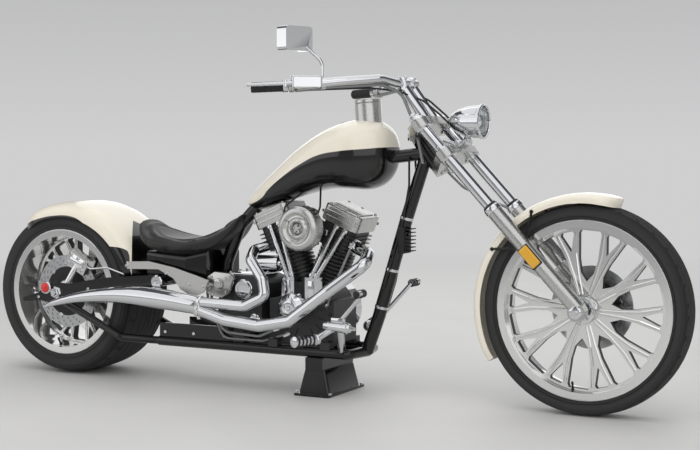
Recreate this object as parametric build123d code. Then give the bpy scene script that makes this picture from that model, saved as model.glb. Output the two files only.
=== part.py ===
"""Long raked chopper motorcycle: one solid per piece, millimetres.

X points forward, Y to the rider's left, Z up. The origin is on the floor, below the
middle of the wheelbase. The machine stands upright on its tyres and a small floor stand.
"""
import os
from math import cos, radians, sin

from build123d import *

os.makedirs("parts", exist_ok=True)

# ---------------------------------------------------------------- driving dimensions
SEAT_FIT = 0.3            # clearance between pieces that seat on each other
RUNNING_FIT = 0.05        # radial clearance of a shaft in its bore
CLEAR = 6.0               # smallest gap between a moving piece and a fixed one

FRONT_AXLE_X = 1058.5
FRONT_TYRE_R = 364.0      # 23 inch front wheel
FRONT_TYRE_W = 130.0
FRONT_BEAD_R = FRONT_TYRE_R - 66.0
FRONT_RIM_HALF = 56.0
REAR_AXLE_X = -1089.5
REAR_TYRE_R = 333.0       # 18 inch rear wheel
REAR_TYRE_W = 300.0
REAR_BEAD_R = REAR_TYRE_R - 93.0
REAR_RIM_HALF = 143.0
SPOKES = 10
SPOKE_ANGLE = -4.0        # first spoke, anticlockwise from +X, seen from the right

FORK_RAKE = 43.1          # fork legs, from vertical
STEER_RAKE = 38.0         # steering axis, from vertical
LEG_AHEAD = 10.0          # fork leg axis passes this far ahead of the front axle
LEG_Y = 108.0             # fork leg axis, from the middle
FORK_TUBE_R = 21.5
SLIDER_R = 28.0
LEG_TOP_Z = 1016.0
SLIDER_TOP_Z = 710.0
UPPER_CLAMP_Z = 995.0     # where the clamps hold the legs
LOWER_CLAMP_Z = 892.0
CLAMP_T = 34.0

FRAME_TUBE_R = 24.0
RAIL_R = 19.0
RAIL_Y = 108.0
RAIL_Z = 160.0
RAIL_REAR_Y = 177.0      # where the rails pass the rear tyre
RAIL_REAR_R = 15.0
NECK_R = 33.0
STEM_R = 14.0
TUNNEL_HALF = FRAME_TUBE_R + 6

FRONT_AXLE_R = 12.5
REAR_AXLE_R = 12.5
AXLE_END_R = 10.0         # turned-down end that a lifting stand takes
AXLE_END_L = 20.0
HUB_R = 45.0

ENGINE_X = -2.0           # crankshaft
ENGINE_Z = 300.0
VEE_HALF = 22.5           # each cylinder leans this far from vertical
CASE_HALF = 92.0          # crankcase half width
BARREL_R = 68.0

FRONT_FENDER_R = FRONT_TYRE_R + 36.0
FRONT_FENDER_HALF = 78.0
REAR_FENDER_R = REAR_TYRE_R + 50.0
REAR_FENDER_HALF = 166.0
FENDER_T = 4.0

GRIP_R = 18.5
BAR_R = 12.7              # at the grips
BAR_MIDDLE_R = 15.9       # between the bends beside the grips

DISC_T = 6.0
FRONT_DISC_R = 146.0
REAR_DISC_R = 146.0

front_axle = Vector(FRONT_AXLE_X, 0, FRONT_TYRE_R)
rear_axle = Vector(REAR_AXLE_X, 0, REAR_TYRE_R)


# ---------------------------------------------------------------- helpers
def rod(start, end, radius, end_radius=None):
    """Round bar between two points, tapered if it has an end radius."""
    start, end = Vector(start), Vector(end)
    plane = Plane(origin=start, z_dir=end - start)
    length = (end - start).length
    if end_radius is None:
        return extrude(plane * Circle(radius), amount=length)
    return plane * Pos(0, 0, length / 2) * Cone(radius, end_radius, length)


def tube(points, radius, bend):
    """Round bar along straight runs joined by tangent arcs."""
    path = FilletPolyline(*points, radius=bend)
    start = Plane(origin=path @ 0, z_dir=path % 0)
    return sweep(start * Circle(radius), path=path)


def block(x, y, z):
    """Box from three (low, high) pairs."""
    size = [pair[1] - pair[0] for pair in (x, y, z)]
    middle = [(pair[1] + pair[0]) / 2 for pair in (x, y, z)]
    return Pos(*middle) * Box(*size)


def lathe(profile, centre, start=90.0, sweep_angle=360.0):
    """Turn a profile of (y, radius) points about the Y axis through centre.

    start is the angle of the first face, anticlockwise from +X seen from the right.
    """
    normal = (sin(radians(start)), 0, -cos(radians(start)))
    plane = Plane(origin=centre, x_dir=(0, 1, 0), z_dir=normal)
    face = plane * make_face(Polyline(*profile, close=True))
    return revolve(face, Axis(tuple(centre), (0, 1, 0)), sweep_angle)


def side_plate(outline, low, high):
    """Plate with an (x, z) outline, from y = low to y = high."""
    plane = Plane(origin=(0, high, 0), x_dir=(1, 0, 0), z_dir=(0, -1, 0))
    return extrude(plane * make_face(Polyline(*outline, close=True)), amount=high - low)


def stations(table, corner=0.9):
    """Solid lofted through upright sections: rows of x, z low, z high, half width."""
    faces = []
    for x, low, high, half in table:
        plane = Plane(origin=(x, 0, (low + high) / 2), x_dir=(0, 1, 0), z_dir=(1, 0, 0))
        radius = corner * min(half, (high - low) / 2)
        faces.append(plane * RectangleRounded(2 * half, high - low, radius))
    return loft(faces, ruled=True)


def join(*pieces):
    """One shape from pieces that meet, or a set of those that don't."""
    solids = [solid for piece in pieces for solid in piece.solids()]
    return Compound((solids[0].fuse(*solids[1:]) if len(solids) > 1 else solids[0]).solids())


def cut(piece, *tools):
    """The piece without what the tools take up."""
    for tool in tools:
        for solid in tool.solids():
            piece = Compound((piece - solid).solids())
    return piece


def both_sides(piece):
    """The piece and its mirror image."""
    return join(piece, *[mirror(solid, about=Plane.XZ) for solid in piece.solids()])


def polar(centre, radius, angle, y=0.0):
    """Point on a circle in a side view."""
    return Vector(centre.X + radius * cos(radians(angle)), y,
                  centre.Z + radius * sin(radians(angle)))


nodes = {}


# ---------------------------------------------------------------- fork geometry
leg_dir = Vector(sin(radians(FORK_RAKE)), 0, -cos(radians(FORK_RAKE)))
steer_dir = Vector(sin(radians(STEER_RAKE)), 0, -cos(radians(STEER_RAKE)))
steer_out = Vector(cos(radians(STEER_RAKE)), 0, sin(radians(STEER_RAKE)))


def leg_at(z, y=0.0):
    """Point of a fork leg's axis at a height."""
    run = (z - front_axle.Z) / leg_dir.Z
    return Vector(front_axle.X + LEG_AHEAD + run * leg_dir.X, y, z)


STEM_OFFSET = 68.0        # steering axis to the legs, at the upper clamp
stem_top = leg_at(UPPER_CLAMP_Z) - steer_out * STEM_OFFSET
stem_run = (leg_at(LOWER_CLAMP_Z) - stem_top).dot(steer_dir)
stem_low = stem_top + steer_dir * stem_run


# ---------------------------------------------------------------- wheels
def tyre(centre, bead_r, outer_r, width, rim_half):
    """Closed ring with a rounded crown, on the rim's bead seat."""
    half = width / 2
    depth = outer_r - bead_r
    bead = rim_half - 6.5
    shape = [(-bead, bead_r + SEAT_FIT), (bead, bead_r + SEAT_FIT),
             (bead, bead_r + 0.2 * depth), (half, bead_r + 0.52 * depth),
             (0.93 * half, bead_r + 0.78 * depth), (0.62 * half, bead_r + 0.95 * depth),
             (0.25 * half, outer_r), (-0.25 * half, outer_r),
             (-0.62 * half, bead_r + 0.95 * depth), (-0.93 * half, bead_r + 0.78 * depth),
             (-half, bead_r + 0.52 * depth), (-bead, bead_r + 0.2 * depth)]
    return lathe(shape, centre)


def spoke_windows(centre, outer, low, high):
    """Long windows between the spokes and small ones in their forks."""
    # radius as a share of the window circle, half width as a share of it
    long_window = [(0.36, 0.0), (0.47, 0.085), (0.63, 0.122), (0.96, 0.146), (1.0, 0.126)]
    small_window = [(0.74, 0.0), (0.96, 0.088), (0.995, 0.074)]
    cutters = []
    for index in range(SPOKES):
        spoke = SPOKE_ANGLE + index * 360 / SPOKES
        for shape, turn in ((long_window, 180 / SPOKES), (small_window, 0)):
            sides = [(r * outer, w * outer) for r, w in shape]
            sides += [(r * outer, -w * outer) for r, w in reversed(shape) if w > 0]
            angle = radians(spoke + turn)
            outline = [(centre.X + r * cos(angle) - w * sin(angle),
                        centre.Z + r * sin(angle) + w * cos(angle)) for r, w in sides]
            cutters.append(side_plate(outline, low, high))
    return cutters


def rim(centre, bead_r, lip_r, half, face_low, face_high, hub_half):
    """Barrel with lips, spoked face and hub with a bore for the axle."""
    well_r = bead_r - 14
    barrel = lathe([(-half, well_r), (-half, lip_r), (-half + 6, lip_r), (-half + 6, bead_r),
                    (half - 6, bead_r), (half - 6, lip_r), (half, lip_r), (half, well_r)],
                   centre)
    face = lathe([(face_low, FRONT_AXLE_R + RUNNING_FIT), (face_low, well_r + 4),
                  (face_high, well_r + 4), (face_high, FRONT_AXLE_R + RUNNING_FIT)], centre)
    face = cut(face, *spoke_windows(centre, well_r - 12, face_low - 1, face_high + 1))
    hub = lathe([(-hub_half, FRONT_AXLE_R + RUNNING_FIT), (-hub_half, HUB_R),
                 (hub_half, HUB_R), (hub_half, FRONT_AXLE_R + RUNNING_FIT)], centre)
    return join(barrel, face, hub)


def disc(centre, radius, side_y):
    """Brake disc with a carrier, clear of the hub."""
    return lathe([(side_y, HUB_R + SEAT_FIT), (side_y, radius), (side_y + DISC_T, radius),
                  (side_y + DISC_T, HUB_R + SEAT_FIT)], centre)


FRONT_FACE = (-34.0, -8.0)
REAR_FACE = (-20.0, 14.0)
FRONT_HUB_HALF = 62.0
REAR_HUB_HALF = 118.0
FRONT_DISC_Y = 50.0
REAR_DISC_Y = -112.0
nodes["front_tyre"] = tyre(front_axle, FRONT_BEAD_R, FRONT_TYRE_R, FRONT_TYRE_W, FRONT_RIM_HALF)
nodes["front_rim"] = rim(front_axle, FRONT_BEAD_R, 310.0, FRONT_RIM_HALF, *FRONT_FACE,
                         FRONT_HUB_HALF)
nodes["front_disc"] = disc(front_axle, FRONT_DISC_R, FRONT_DISC_Y)
nodes["rear_tyre"] = tyre(rear_axle, REAR_BEAD_R, REAR_TYRE_R, REAR_TYRE_W, REAR_RIM_HALF)
nodes["rear_rim"] = rim(rear_axle, REAR_BEAD_R, 252.0, REAR_RIM_HALF, *REAR_FACE, REAR_HUB_HALF)
nodes["rear_disc"] = disc(rear_axle, REAR_DISC_R, REAR_DISC_Y)
PULLEY_R = 105.0
PULLEY_Y = (84.0, 116.0)
nodes["rear_pulley"] = lathe([(PULLEY_Y[0], HUB_R + SEAT_FIT), (PULLEY_Y[0], PULLEY_R),
                              (PULLEY_Y[1], PULLEY_R), (PULLEY_Y[1], HUB_R + SEAT_FIT)],
                             rear_axle)

# ---------------------------------------------------------------- axles
def axle(centre, radius, end):
    """Axle through a wheel's centre, turned down over its last stretch each side."""
    shoulder = end - AXLE_END_L
    return lathe([(-end, 0.0), (-end, AXLE_END_R), (-shoulder, AXLE_END_R),
                  (-shoulder, radius), (shoulder, radius), (shoulder, AXLE_END_R),
                  (end, AXLE_END_R), (end, 0.0)], centre)


leg_foot = leg_at(front_axle.Z + 34)
FRONT_AXLE_END = LEG_Y + SLIDER_R + 16
nodes["front_axle"] = axle(front_axle, FRONT_AXLE_R, FRONT_AXLE_END)
BLADE_Y = (162.0, 180.0)
REAR_AXLE_END = BLADE_Y[1] + 24
nodes["rear_axle"] = axle(rear_axle, REAR_AXLE_R, REAR_AXLE_END)

# ---------------------------------------------------------------- fork
clamp_pieces = [rod(stem_top - steer_dir * 30, stem_low + steer_dir * 22, STEM_R),
                rod(stem_top - steer_dir * 30, stem_top - steer_dir * (CLAMP_T / 2), 24)]
for stem_point, leg_z in ((stem_top, UPPER_CLAMP_Z), (stem_low, LOWER_CLAMP_Z)):
    plane = Plane(origin=stem_point - steer_dir * (CLAMP_T / 2), x_dir=steer_out,
                  z_dir=steer_dir)
    reach = (leg_at(leg_z) - stem_point).dot(steer_out)
    outline = make_hull([*Circle(32).edges(),
                         *(Pos(reach, LEG_Y) * Circle(34)).edges(),
                         *(Pos(reach, -LEG_Y) * Circle(34)).edges()])
    clamp_pieces.append(extrude(plane * outline, amount=CLAMP_T))
leg_bores = [rod(leg_at(LEG_TOP_Z + 60, side * LEG_Y), leg_at(LOWER_CLAMP_Z - 80, side * LEG_Y),
                 FORK_TUBE_R + SEAT_FIT) for side in (-1, 1)]
nodes["triple_clamps"] = cut(join(*clamp_pieces), *leg_bores)

tubes = []
sliders = []
for side in (-1, 1):
    y = side * LEG_Y
    tubes.append(rod(leg_at(LEG_TOP_Z, y), leg_at(SLIDER_TOP_Z + SEAT_FIT, y), FORK_TUBE_R))
    slider = rod(leg_at(SLIDER_TOP_Z, y), leg_at(front_axle.Z + 12, y), SLIDER_R)
    boss = rod((front_axle.X, y - 20, front_axle.Z), (front_axle.X, y + 20, front_axle.Z), 31)
    bore = rod((front_axle.X, y - 60, front_axle.Z), (front_axle.X, y + 60, front_axle.Z),
               FRONT_AXLE_R + SEAT_FIT)
    sliders.append(cut(join(slider, boss), bore))
nodes["fork_tubes"] = join(*tubes)
nodes["fork_sliders"] = join(*sliders)

# Handlebar: one row per point of the right half, from the clamp to the grip's end
bar_route = [(372, 0, 1142), (372, -56, 1142), (330, -132, 1160), (240, -226, 1151),
             (106, -340, 1132), (-40, -396, 1126)]
RISER_Y = 38.0
RISER_R = 19.5
BAR_SEAT = Vector(*bar_route[0])
bar_pieces = [tube(bar_route, BAR_R, 40), tube(bar_route[:-1], BAR_MIDDLE_R, 40)]
bar_pieces.append(rod((478, -RISER_Y, 998), BAR_SEAT - Vector(0, RISER_Y, 0), RISER_R))
bar_pieces.append(rod(BAR_SEAT - Vector(0, RISER_Y + 20, 0), BAR_SEAT - Vector(0, RISER_Y - 20, 0),
                      RISER_R + 6))
nodes["handlebar"] = cut(both_sides(join(*bar_pieces)), nodes["triple_clamps"])

GRIP_LENGTH = 112.0
bar_end = Vector(*bar_route[-1])
bar_in = (Vector(*bar_route[-2]) - bar_end).normalized()


def on_bar(distance):
    """Point on the straight end of the right bar, from its tip."""
    return bar_end + bar_in * distance


def bar_sleeve(start, end, radius):
    """Sleeve on the straight end of the right bar."""
    return cut(rod(on_bar(start), on_bar(end), radius),
               rod(on_bar(0), on_bar(end + 20), BAR_R + SEAT_FIT))


nodes["grips"] = both_sides(bar_sleeve(-6, GRIP_LENGTH, GRIP_R))

# Lever, its perch on the bar and the fluid reservoir beside the bar's next run
PERCH = (GRIP_LENGTH + 1, GRIP_LENGTH + 17)
bar_bend = Vector(*bar_route[-2])
bar_on = (Vector(*bar_route[-3]) - bar_bend).normalized()
bar_on_side = Vector(bar_on.Y, -bar_on.X, 0).normalized()
bar_in_side = Vector(bar_in.Y, -bar_in.X, 0).normalized()


def past_bend(distance):
    """Point on the right bar's run between its outer bend and the next one."""
    return bar_bend + bar_on * distance


RESERVOIR = (108.0, 34.0, 36.0)      # along the bar, across it, tall
RESERVOIR_OFF = BAR_MIDDLE_R + SEAT_FIT + RESERVOIR[1] / 2
LEVER_LENGTH = 136.0
LEVER_OFF = 48.0
reservoir_at = past_bend(30) + bar_on_side * RESERVOIR_OFF + Vector(0, 0, 10)
reservoir_plane = Plane(origin=reservoir_at, x_dir=(bar_on.X, bar_on.Y, 0), z_dir=(0, 0, 1))
reservoir_box = Box(*RESERVOIR)
reservoir = reservoir_plane * fillet(reservoir_box.edges().filter_by(Axis.Z), 8)
lever_root = on_bar(PERCH[1] - 4) + bar_in_side * LEVER_OFF + Vector(0, 0, 8)
arm = cut(rod(on_bar(PERCH[0] + 8), lever_root, 10), rod(on_bar(0), on_bar(160), BAR_R + SEAT_FIT))
lever = rod(lever_root, lever_root - bar_in * LEVER_LENGTH, 7, 5.5)
link = rod(lever_root, reservoir_at, 9)
nodes["control_levers"] = cut(both_sides(join(bar_sleeve(*PERCH, 22), arm, lever, link,
                                              reservoir)), nodes["handlebar"])

MIRROR_FOOT = (86.0, 102.0)          # clamp on the bar, past the bend
MIRROR_SIZE = (50, 122, 86)
foot_at = past_bend(sum(MIRROR_FOOT) / 2)
mirror_clamp = cut(rod(past_bend(MIRROR_FOOT[0]), past_bend(MIRROR_FOOT[1]), 22),
                   rod(bar_bend, past_bend(MIRROR_FOOT[1] + 30), BAR_MIDDLE_R + SEAT_FIT))
stem_route = [foot_at + Vector(0, 0, 18), foot_at + Vector(0, 0, 74),
              foot_at + Vector(-64, -24, 138)]
head_at = foot_at + Vector(-84, -48, 155)
mirror_box = Box(*MIRROR_SIZE)
mirror_head = Pos(head_at) * Rot(0, 0, -20) * fillet(mirror_box.edges().filter_by(Axis.X), 14)
nodes["mirror"] = cut(join(mirror_clamp, tube(stem_route, 7, 50), mirror_head),
                      nodes["control_levers"], nodes["handlebar"])

lamp_face = Vector(676, 0, 1008)
lamp_foot = leg_at(UPPER_CLAMP_Z - 45)
nodes["headlight"] = cut(
    join(rod(lamp_face - Vector(84, 0, 0), lamp_face, 50, 62),
         rod(lamp_face - Vector(138, 0, 0), lamp_face - Vector(84, 0, 0), 18, 50),
         rod(lamp_face - Vector(64, 0, 40), lamp_foot, 12),
         rod(lamp_foot, leg_at(LOWER_CLAMP_Z), 12)),
    nodes["triple_clamps"])

fender_in = FRONT_FENDER_R - FENDER_T
skirt_r = FRONT_FENDER_R - 34
half = FRONT_FENDER_HALF
fender = lathe([(-half, skirt_r), (-half, fender_in - 6), (-half + 16, FRONT_FENDER_R),
                (half - 16, FRONT_FENDER_R), (half, fender_in - 6), (half, skirt_r),
                (half - FENDER_T, skirt_r), (half - FENDER_T, fender_in - 7),
                (half - 17, fender_in), (-half + 17, fender_in),
                (-half + FENDER_T, fender_in - 7), (-half + FENDER_T, skirt_r)],
               front_axle, 210, 138)
stays = []
for angle in (118, 148):
    high = polar(front_axle, FRONT_FENDER_R - 20, angle, -half + 1)
    stays.append(rod(high, polar(front_axle, 285, 133, -LEG_Y + SLIDER_R - 10), 5))
nodes["front_fender"] = cut(join(fender, both_sides(join(*stays))), nodes["fork_sliders"])

disc_space = lathe([(FRONT_DISC_Y - CLEAR, 0.0), (FRONT_DISC_Y - CLEAR, FRONT_DISC_R + CLEAR),
                    (FRONT_DISC_Y + DISC_T + CLEAR, FRONT_DISC_R + CLEAR),
                    (FRONT_DISC_Y + DISC_T + CLEAR, 0.0)], front_axle)
caliper_at = polar(front_axle, FRONT_DISC_R - 8, 133, FRONT_DISC_Y + DISC_T / 2 + 8)
caliper = Pos(caliper_at) * Rot(0, -43, 0) * Box(70, 56, 92)
nodes["front_caliper"] = cut(caliper, disc_space, nodes["fork_sliders"])

# ---------------------------------------------------------------- frame
neck_from = stem_top + steer_dir * (CLAMP_T / 2 + 1)
neck_to = stem_low - steer_dir * (CLAMP_T / 2 + 1)
neck_solid = rod(neck_from, neck_to, NECK_R)
neck = cut(neck_solid, rod(neck_from - steer_dir * 5, neck_to + steer_dir * 5,
                           STEM_R + RUNNING_FIT))
neck_middle = (neck_from + neck_to) * 0.5
SPINE_FOOT_X = -420.0
backbone_route = [neck_middle, (120, 0, 858), (-200, 0, 745), (-335, 0, 612), (-395, 0, 470),
                  (SPINE_FOOT_X, 0, RAIL_Z)]
backbone = cut(tube(backbone_route, FRAME_TUBE_R, 60), neck_solid)
TANK_BOSSES = ((240, 890), (-70, 790))    # x, z of the bosses that carry the tank
tank_bosses = [rod((x, -TUNNEL_HALF + SEAT_FIT, z), (x, TUNNEL_HALF - SEAT_FIT, z), 11)
               for x, z in TANK_BOSSES]
nodes["frame_backbone"] = join(neck, backbone, *tank_bosses)

down_route = [neck_middle - steer_out * 20, (374, 0, 655), (262, 0, 290), (214, 0, RAIL_Z)]
nodes["frame_downtube"] = cut(tube(down_route, FRAME_TUBE_R, 90), neck_solid,
                              nodes["frame_backbone"])


def rails(extra=0.0):
    """Both lower rails with their cross tubes, or the space they need."""
    pieces = []
    for side in (-1, 1):
        pieces.append(tube([(214, 0, RAIL_Z), (190, side * RAIL_Y, RAIL_Z),
                            (-640, side * RAIL_Y, RAIL_Z)], RAIL_R + extra, 25))
        pieces.append(tube([(-600, side * RAIL_Y, RAIL_Z), (-660, side * RAIL_Y, RAIL_Z),
                            (-775, side * RAIL_REAR_Y, RAIL_Z + 12),
                            (-1050, side * RAIL_REAR_Y, 296)], RAIL_REAR_R + extra, 40))
    for x in (SPINE_FOOT_X, -600.0):
        pieces.append(rod((x, -RAIL_Y, RAIL_Z), (x, RAIL_Y, RAIL_Z), RAIL_R + extra))
    return join(*pieces)


RAIL_PLATE = ((-640, -306), (RAIL_Y - 7, RAIL_Y), (RAIL_Z, 231))
rail_plates = both_sides(block(RAIL_PLATE[0], [-y for y in reversed(RAIL_PLATE[1])],
                               RAIL_PLATE[2]))

# Swingarm blade outline, x and z: pivot, axle plate, lamp bracket behind it
PIVOT = (-600.0, 398.0)
# x and z from the rear axle
blade_end = [(69.5, 39), (-40.5, 39), (-95.5, -5), (-172.5, -29), (-172.5, -43), (-90.5, -35),
             (-10.5, -45), (79.5, -33)]
blade_outline = [(-560, 395), (-600, 425), (-860, 402),
                 *((rear_axle.X + x, rear_axle.Z + z) for x, z in blade_end),
                 (-860, 348), (-640, 372)]
blades = both_sides(side_plate(blade_outline, *BLADE_Y))
blades = cut(blades, rod(rear_axle - Vector(0, 300, 0), rear_axle + Vector(0, 300, 0),
                         REAR_AXLE_R + SEAT_FIT))
pivot_tube = rod((PIVOT[0], -BLADE_Y[0] - 1, PIVOT[1]), (PIVOT[0], BLADE_Y[0] + 1, PIVOT[1]), 20)
nodes["swingarm"] = join(blades, pivot_tube)
nodes["frame_rails"] = cut(join(rails(), rail_plates), nodes["frame_downtube"], nodes["frame_backbone"],
                           nodes["swingarm"])

fender_centre = rear_axle + Vector(14.5, 0, -17)
half = REAR_FENDER_HALF
skirt_r = REAR_FENDER_R - 65
fender_in = REAR_FENDER_R - FENDER_T
rear_fender = lathe(
    [(-half, skirt_r), (-half, fender_in - 26), (-half + 30, REAR_FENDER_R),
     (half - 30, REAR_FENDER_R), (half, fender_in - 26), (half, skirt_r),
     (half - FENDER_T, skirt_r), (half - FENDER_T, fender_in - 27),
     (half - 31, fender_in), (-half + 31, fender_in),
     (-half + FENDER_T, fender_in - 27), (-half + FENDER_T, skirt_r)],
    fender_centre, 130, 106)
front_lip = lathe([(-half + 30, fender_in), (-half + 30, REAR_FENDER_R),
                   (half - 30, REAR_FENDER_R), (half - 30, fender_in)], fender_centre, 25, 15)
TAIL_X = fender_centre.X - 121          # behind this the tail is rounded off, seen from above
TAIL_DEPTH = 134.0
tail_room = Pos(TAIL_X - TAIL_DEPTH, 0) * Rectangle(2 * TAIL_DEPTH, 2 * half + 2)
tail_corners = extrude(Plane.XY.offset(450) * (tail_room - Pos(TAIL_X, 0)
                                               * Ellipse(TAIL_DEPTH, half)), amount=280)
rear_fender = cut(join(rear_fender, front_lip), tail_corners)
nodes["rear_fender"] = rear_fender

STRUT_Y = (REAR_FENDER_HALF - FENDER_T - SEAT_FIT - 6, REAR_FENDER_HALF - FENDER_T - SEAT_FIT)
strut_outline = [(-775, 468), (-654, 474), (-538, 455), (-423, 425), (-378, 412),
                 (-401, 365), (-447, 344), (-506, 372), (-538, 412), (-608, 445),
                 (-770, 440)]
STRUT_TUBE = (-405, 388)
strut_tube = rod((STRUT_TUBE[0], -STRUT_Y[0] - 1, STRUT_TUBE[1]),
                 (STRUT_TUBE[0], STRUT_Y[0] + 1, STRUT_TUBE[1]), 13)
nodes["side_struts"] = cut(join(both_sides(side_plate(strut_outline, *STRUT_Y)), strut_tube),
                           nodes["frame_backbone"], nodes["swingarm"], rear_fender)

# ---------------------------------------------------------------- bodywork
# x, z low, z high, half width
tank_sections = [(-290, 690, 716, 16), (-245, 672, 760, 44), (-150, 705, 832, 84),
                 (-50, 738, 916, 114), (60, 766, 980, 138), (180, 764, 1019, 146),
                 (246, 758, 1020, 132), (292, 790, 1000, 100), (322, 850, 950, 56)]
tunnel_outline = [(400, 600), (400, 926 + TUNNEL_HALF), (120, 862 + TUNNEL_HALF),
                  (-205, 754 + TUNNEL_HALF), (-300, 666 + TUNNEL_HALF), (-300, 600)]
nodes["fuel_tank"] = cut(stations(tank_sections),
                         side_plate(tunnel_outline, -TUNNEL_HALF, TUNNEL_HALF))

# x, z low, z high, half width
seat_sections = [(-765, 590, 652, 84), (-712, 530, 592, 138), (-630, 506, 566, 154),
                 (-500, 500, 562, 150), (-405, 528, 594, 118), (-330, 590, 655, 86),
                 (-300, 640, 690, 70)]
nodes["seat_pad"] = cut(stations(seat_sections, 0.7), nodes["frame_backbone"],
                        nodes["fuel_tank"])

# x, z low, z high, half width
oil_sections = [(-690, 410, 510, 120), (-600, 400, 505, 138), (-500, 385, 499, 138),
                (-415, 385, 520, 120)]
nodes["oil_tank"] = cut(stations(oil_sections, 0.3), nodes["frame_backbone"],
                        nodes["swingarm"], nodes["seat_pad"], nodes["side_struts"])

# ---------------------------------------------------------------- engine
crank = Vector(ENGINE_X, 0, ENGINE_Z)
case = join(block((-150, 122), (-CASE_HALF, CASE_HALF), (190, 350)),
            lathe([(-CASE_HALF, 0.0), (-CASE_HALF, 118), (CASE_HALF, 118), (CASE_HALF, 0.0)],
                  crank),
            *[block((x, x + 40), (side * 108 - 16, side * 108 + 16), (164, 200))
              for x in (-140, 82) for side in (-1, 1)])
nodes["crankcase"] = cut(case, rails(SEAT_FIT))

BARREL_FROM = 134.0
HEAD_FROM = 268.0
HEAD_TO = 356.0
ROCKER_TO = 418.0
FIN_PITCH = 15.0
cylinders = []
rockers = []
for lean in (-VEE_HALF, VEE_HALF):
    axis = Vector(sin(radians(lean)), 0, cos(radians(lean)))
    across = Vector(cos(radians(lean)), 0, -sin(radians(lean)))
    cylinders.append(rod(crank + axis * 80, crank + axis * HEAD_FROM, BARREL_R - 14))
    for index in range(9):
        start = BARREL_FROM + index * FIN_PITCH
        cylinders.append(rod(crank + axis * start, crank + axis * (start + 6), BARREL_R))
    plane = Plane(origin=crank + axis * HEAD_FROM, x_dir=across, z_dir=axis)
    cylinders.append(extrude(plane * RectangleRounded(140, 150, 30), amount=HEAD_TO - HEAD_FROM))
    plane = Plane(origin=crank + axis * (HEAD_TO + SEAT_FIT), x_dir=across, z_dir=axis)
    cover = extrude(plane * RectangleRounded(158, 176, 26), amount=ROCKER_TO - HEAD_TO)
    rockers.append(cover)
nodes["cylinders"] = cut(join(*cylinders), nodes["crankcase"])
nodes["rocker_covers"] = join(*rockers)

CAM_AT = Vector(-26, 0, 325)
cam_in = -CASE_HALF - SEAT_FIT
nodes["cam_cover"] = lathe([(-168, 0.0), (-168, 34), (-150, 54), (cam_in, 62), (cam_in, 0.0)],
                           CAM_AT)
PUSHROD_Y = -116.0
PUSHROD_IN = 36.0         # how far the tubes lean inwards to the heads
# x of each pushrod tube's foot and head
pushrods = [(-58, -156), (-38, -118), (40, 132), (60, 168)]
LIFTER_Z = (352.0, 438.0)
lifters = [block((x, x + 52), (PUSHROD_Y - 14, cam_in), LIFTER_Z) for x in (-76, 22)]
tubes = []
for foot, head in pushrods:
    lean = VEE_HALF if foot > 0 else -VEE_HALF
    # the cover's lower face, met at the tube's head
    head_z = ENGINE_Z + (HEAD_TO - (head - ENGINE_X) * sin(radians(lean))) / cos(radians(lean))
    tubes.append(rod((foot, PUSHROD_Y, LIFTER_Z[1] - 2),
                     (head, PUSHROD_Y + PUSHROD_IN, head_z + 4), 8))
nodes["pushrod_tubes"] = cut(join(*lifters, *tubes), nodes["cam_cover"], nodes["cylinders"],
                             nodes["rocker_covers"])

transmission = block((-370, -180), (-100, CASE_HALF), (215, 430))
nodes["transmission"] = cut(join(fillet(transmission.edges().filter_by(Axis.Y), 40),
                                 *[block((-300, -250), (side * 97 - 19, side * 97 + 19),
                                         (164, 222)) for side in (-1, 1)]),
                            rails(SEAT_FIT))

PRIMARY_Y = (CASE_HALF + SEAT_FIT, 172.0)
primary = make_hull([*(Pos(ENGINE_X, ENGINE_Z) * Circle(112)).edges(),
                     *(Pos(-270, 330) * Circle(96)).edges()])
primary_plane = Plane(origin=(0, PRIMARY_Y[1], 0), x_dir=(1, 0, 0), z_dir=(0, -1, 0))
nodes["primary_cover"] = extrude(primary_plane * primary, amount=PRIMARY_Y[1] - PRIMARY_Y[0])

AIR_AT = Vector(44, 0, 624)
AIR_IN = -168.0
air_cleaner = lathe([(-236, 0.0), (-236, 62), (-222, 82), (-178, 82), (AIR_IN, 74),
                     (AIR_IN, 0.0)], AIR_AT)
manifold_z = ENGINE_Z + 311
manifold = rod((ENGINE_X - 80, -20, manifold_z), (ENGINE_X + 80, -20, manifold_z), 22)
intake = rod((AIR_AT.X, AIR_IN - 1, AIR_AT.Z), (ENGINE_X, -20, manifold_z), 30)
nodes["air_cleaner"] = cut(join(air_cleaner, intake, manifold), nodes["cylinders"],
                           nodes["rocker_covers"], nodes["pushrod_tubes"])

# ---------------------------------------------------------------- exhaust
PIPE_R = 23.0
MUFFLER_Y = -238.0
# x, z of the muffler's axis and its radius, from the joint to the pointed end
muffler_sections = [(-380, 325, 34), (-500, 338, 37), (-620, 345, 39), (-740, 347, 32),
                    (-860, 337, 25), (-960, 322, 20), (-1060, 298, 13), (-1108, 282, 6)]
muffler_faces = [Plane(origin=(x, MUFFLER_Y, z), z_dir=(-1, 0, 0)) * Circle(r)
                 for x, z, r in muffler_sections]
nodes["muffler"] = loft(muffler_faces, ruled=True)
front_header = tube([(166, -30, 556), (268, -100, 532), (290, -176, 500), (164, -212, 402),
                     (10, -222, 286), (-120, -226, 262), (-260, -232, 276),
                     (-382, -238, 312)], PIPE_R, 30)
rear_header = tube([(-150, -30, 556), (-206, -110, 530), (-180, -180, 500), (-112, -208, 430),
                    (-98, -216, 370), (-180, -226, 330), (-382, -238, 338)], PIPE_R - 3, 24)
nodes["exhaust_headers"] = cut(join(front_header, rear_header), nodes["cylinders"],
                               nodes["crankcase"], nodes["cam_cover"], nodes["muffler"])

# ---------------------------------------------------------------- controls and small parts
nodes["regulator"] = cut(block((352, 394), (-34, 34), (530, 630)), nodes["frame_downtube"])

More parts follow.
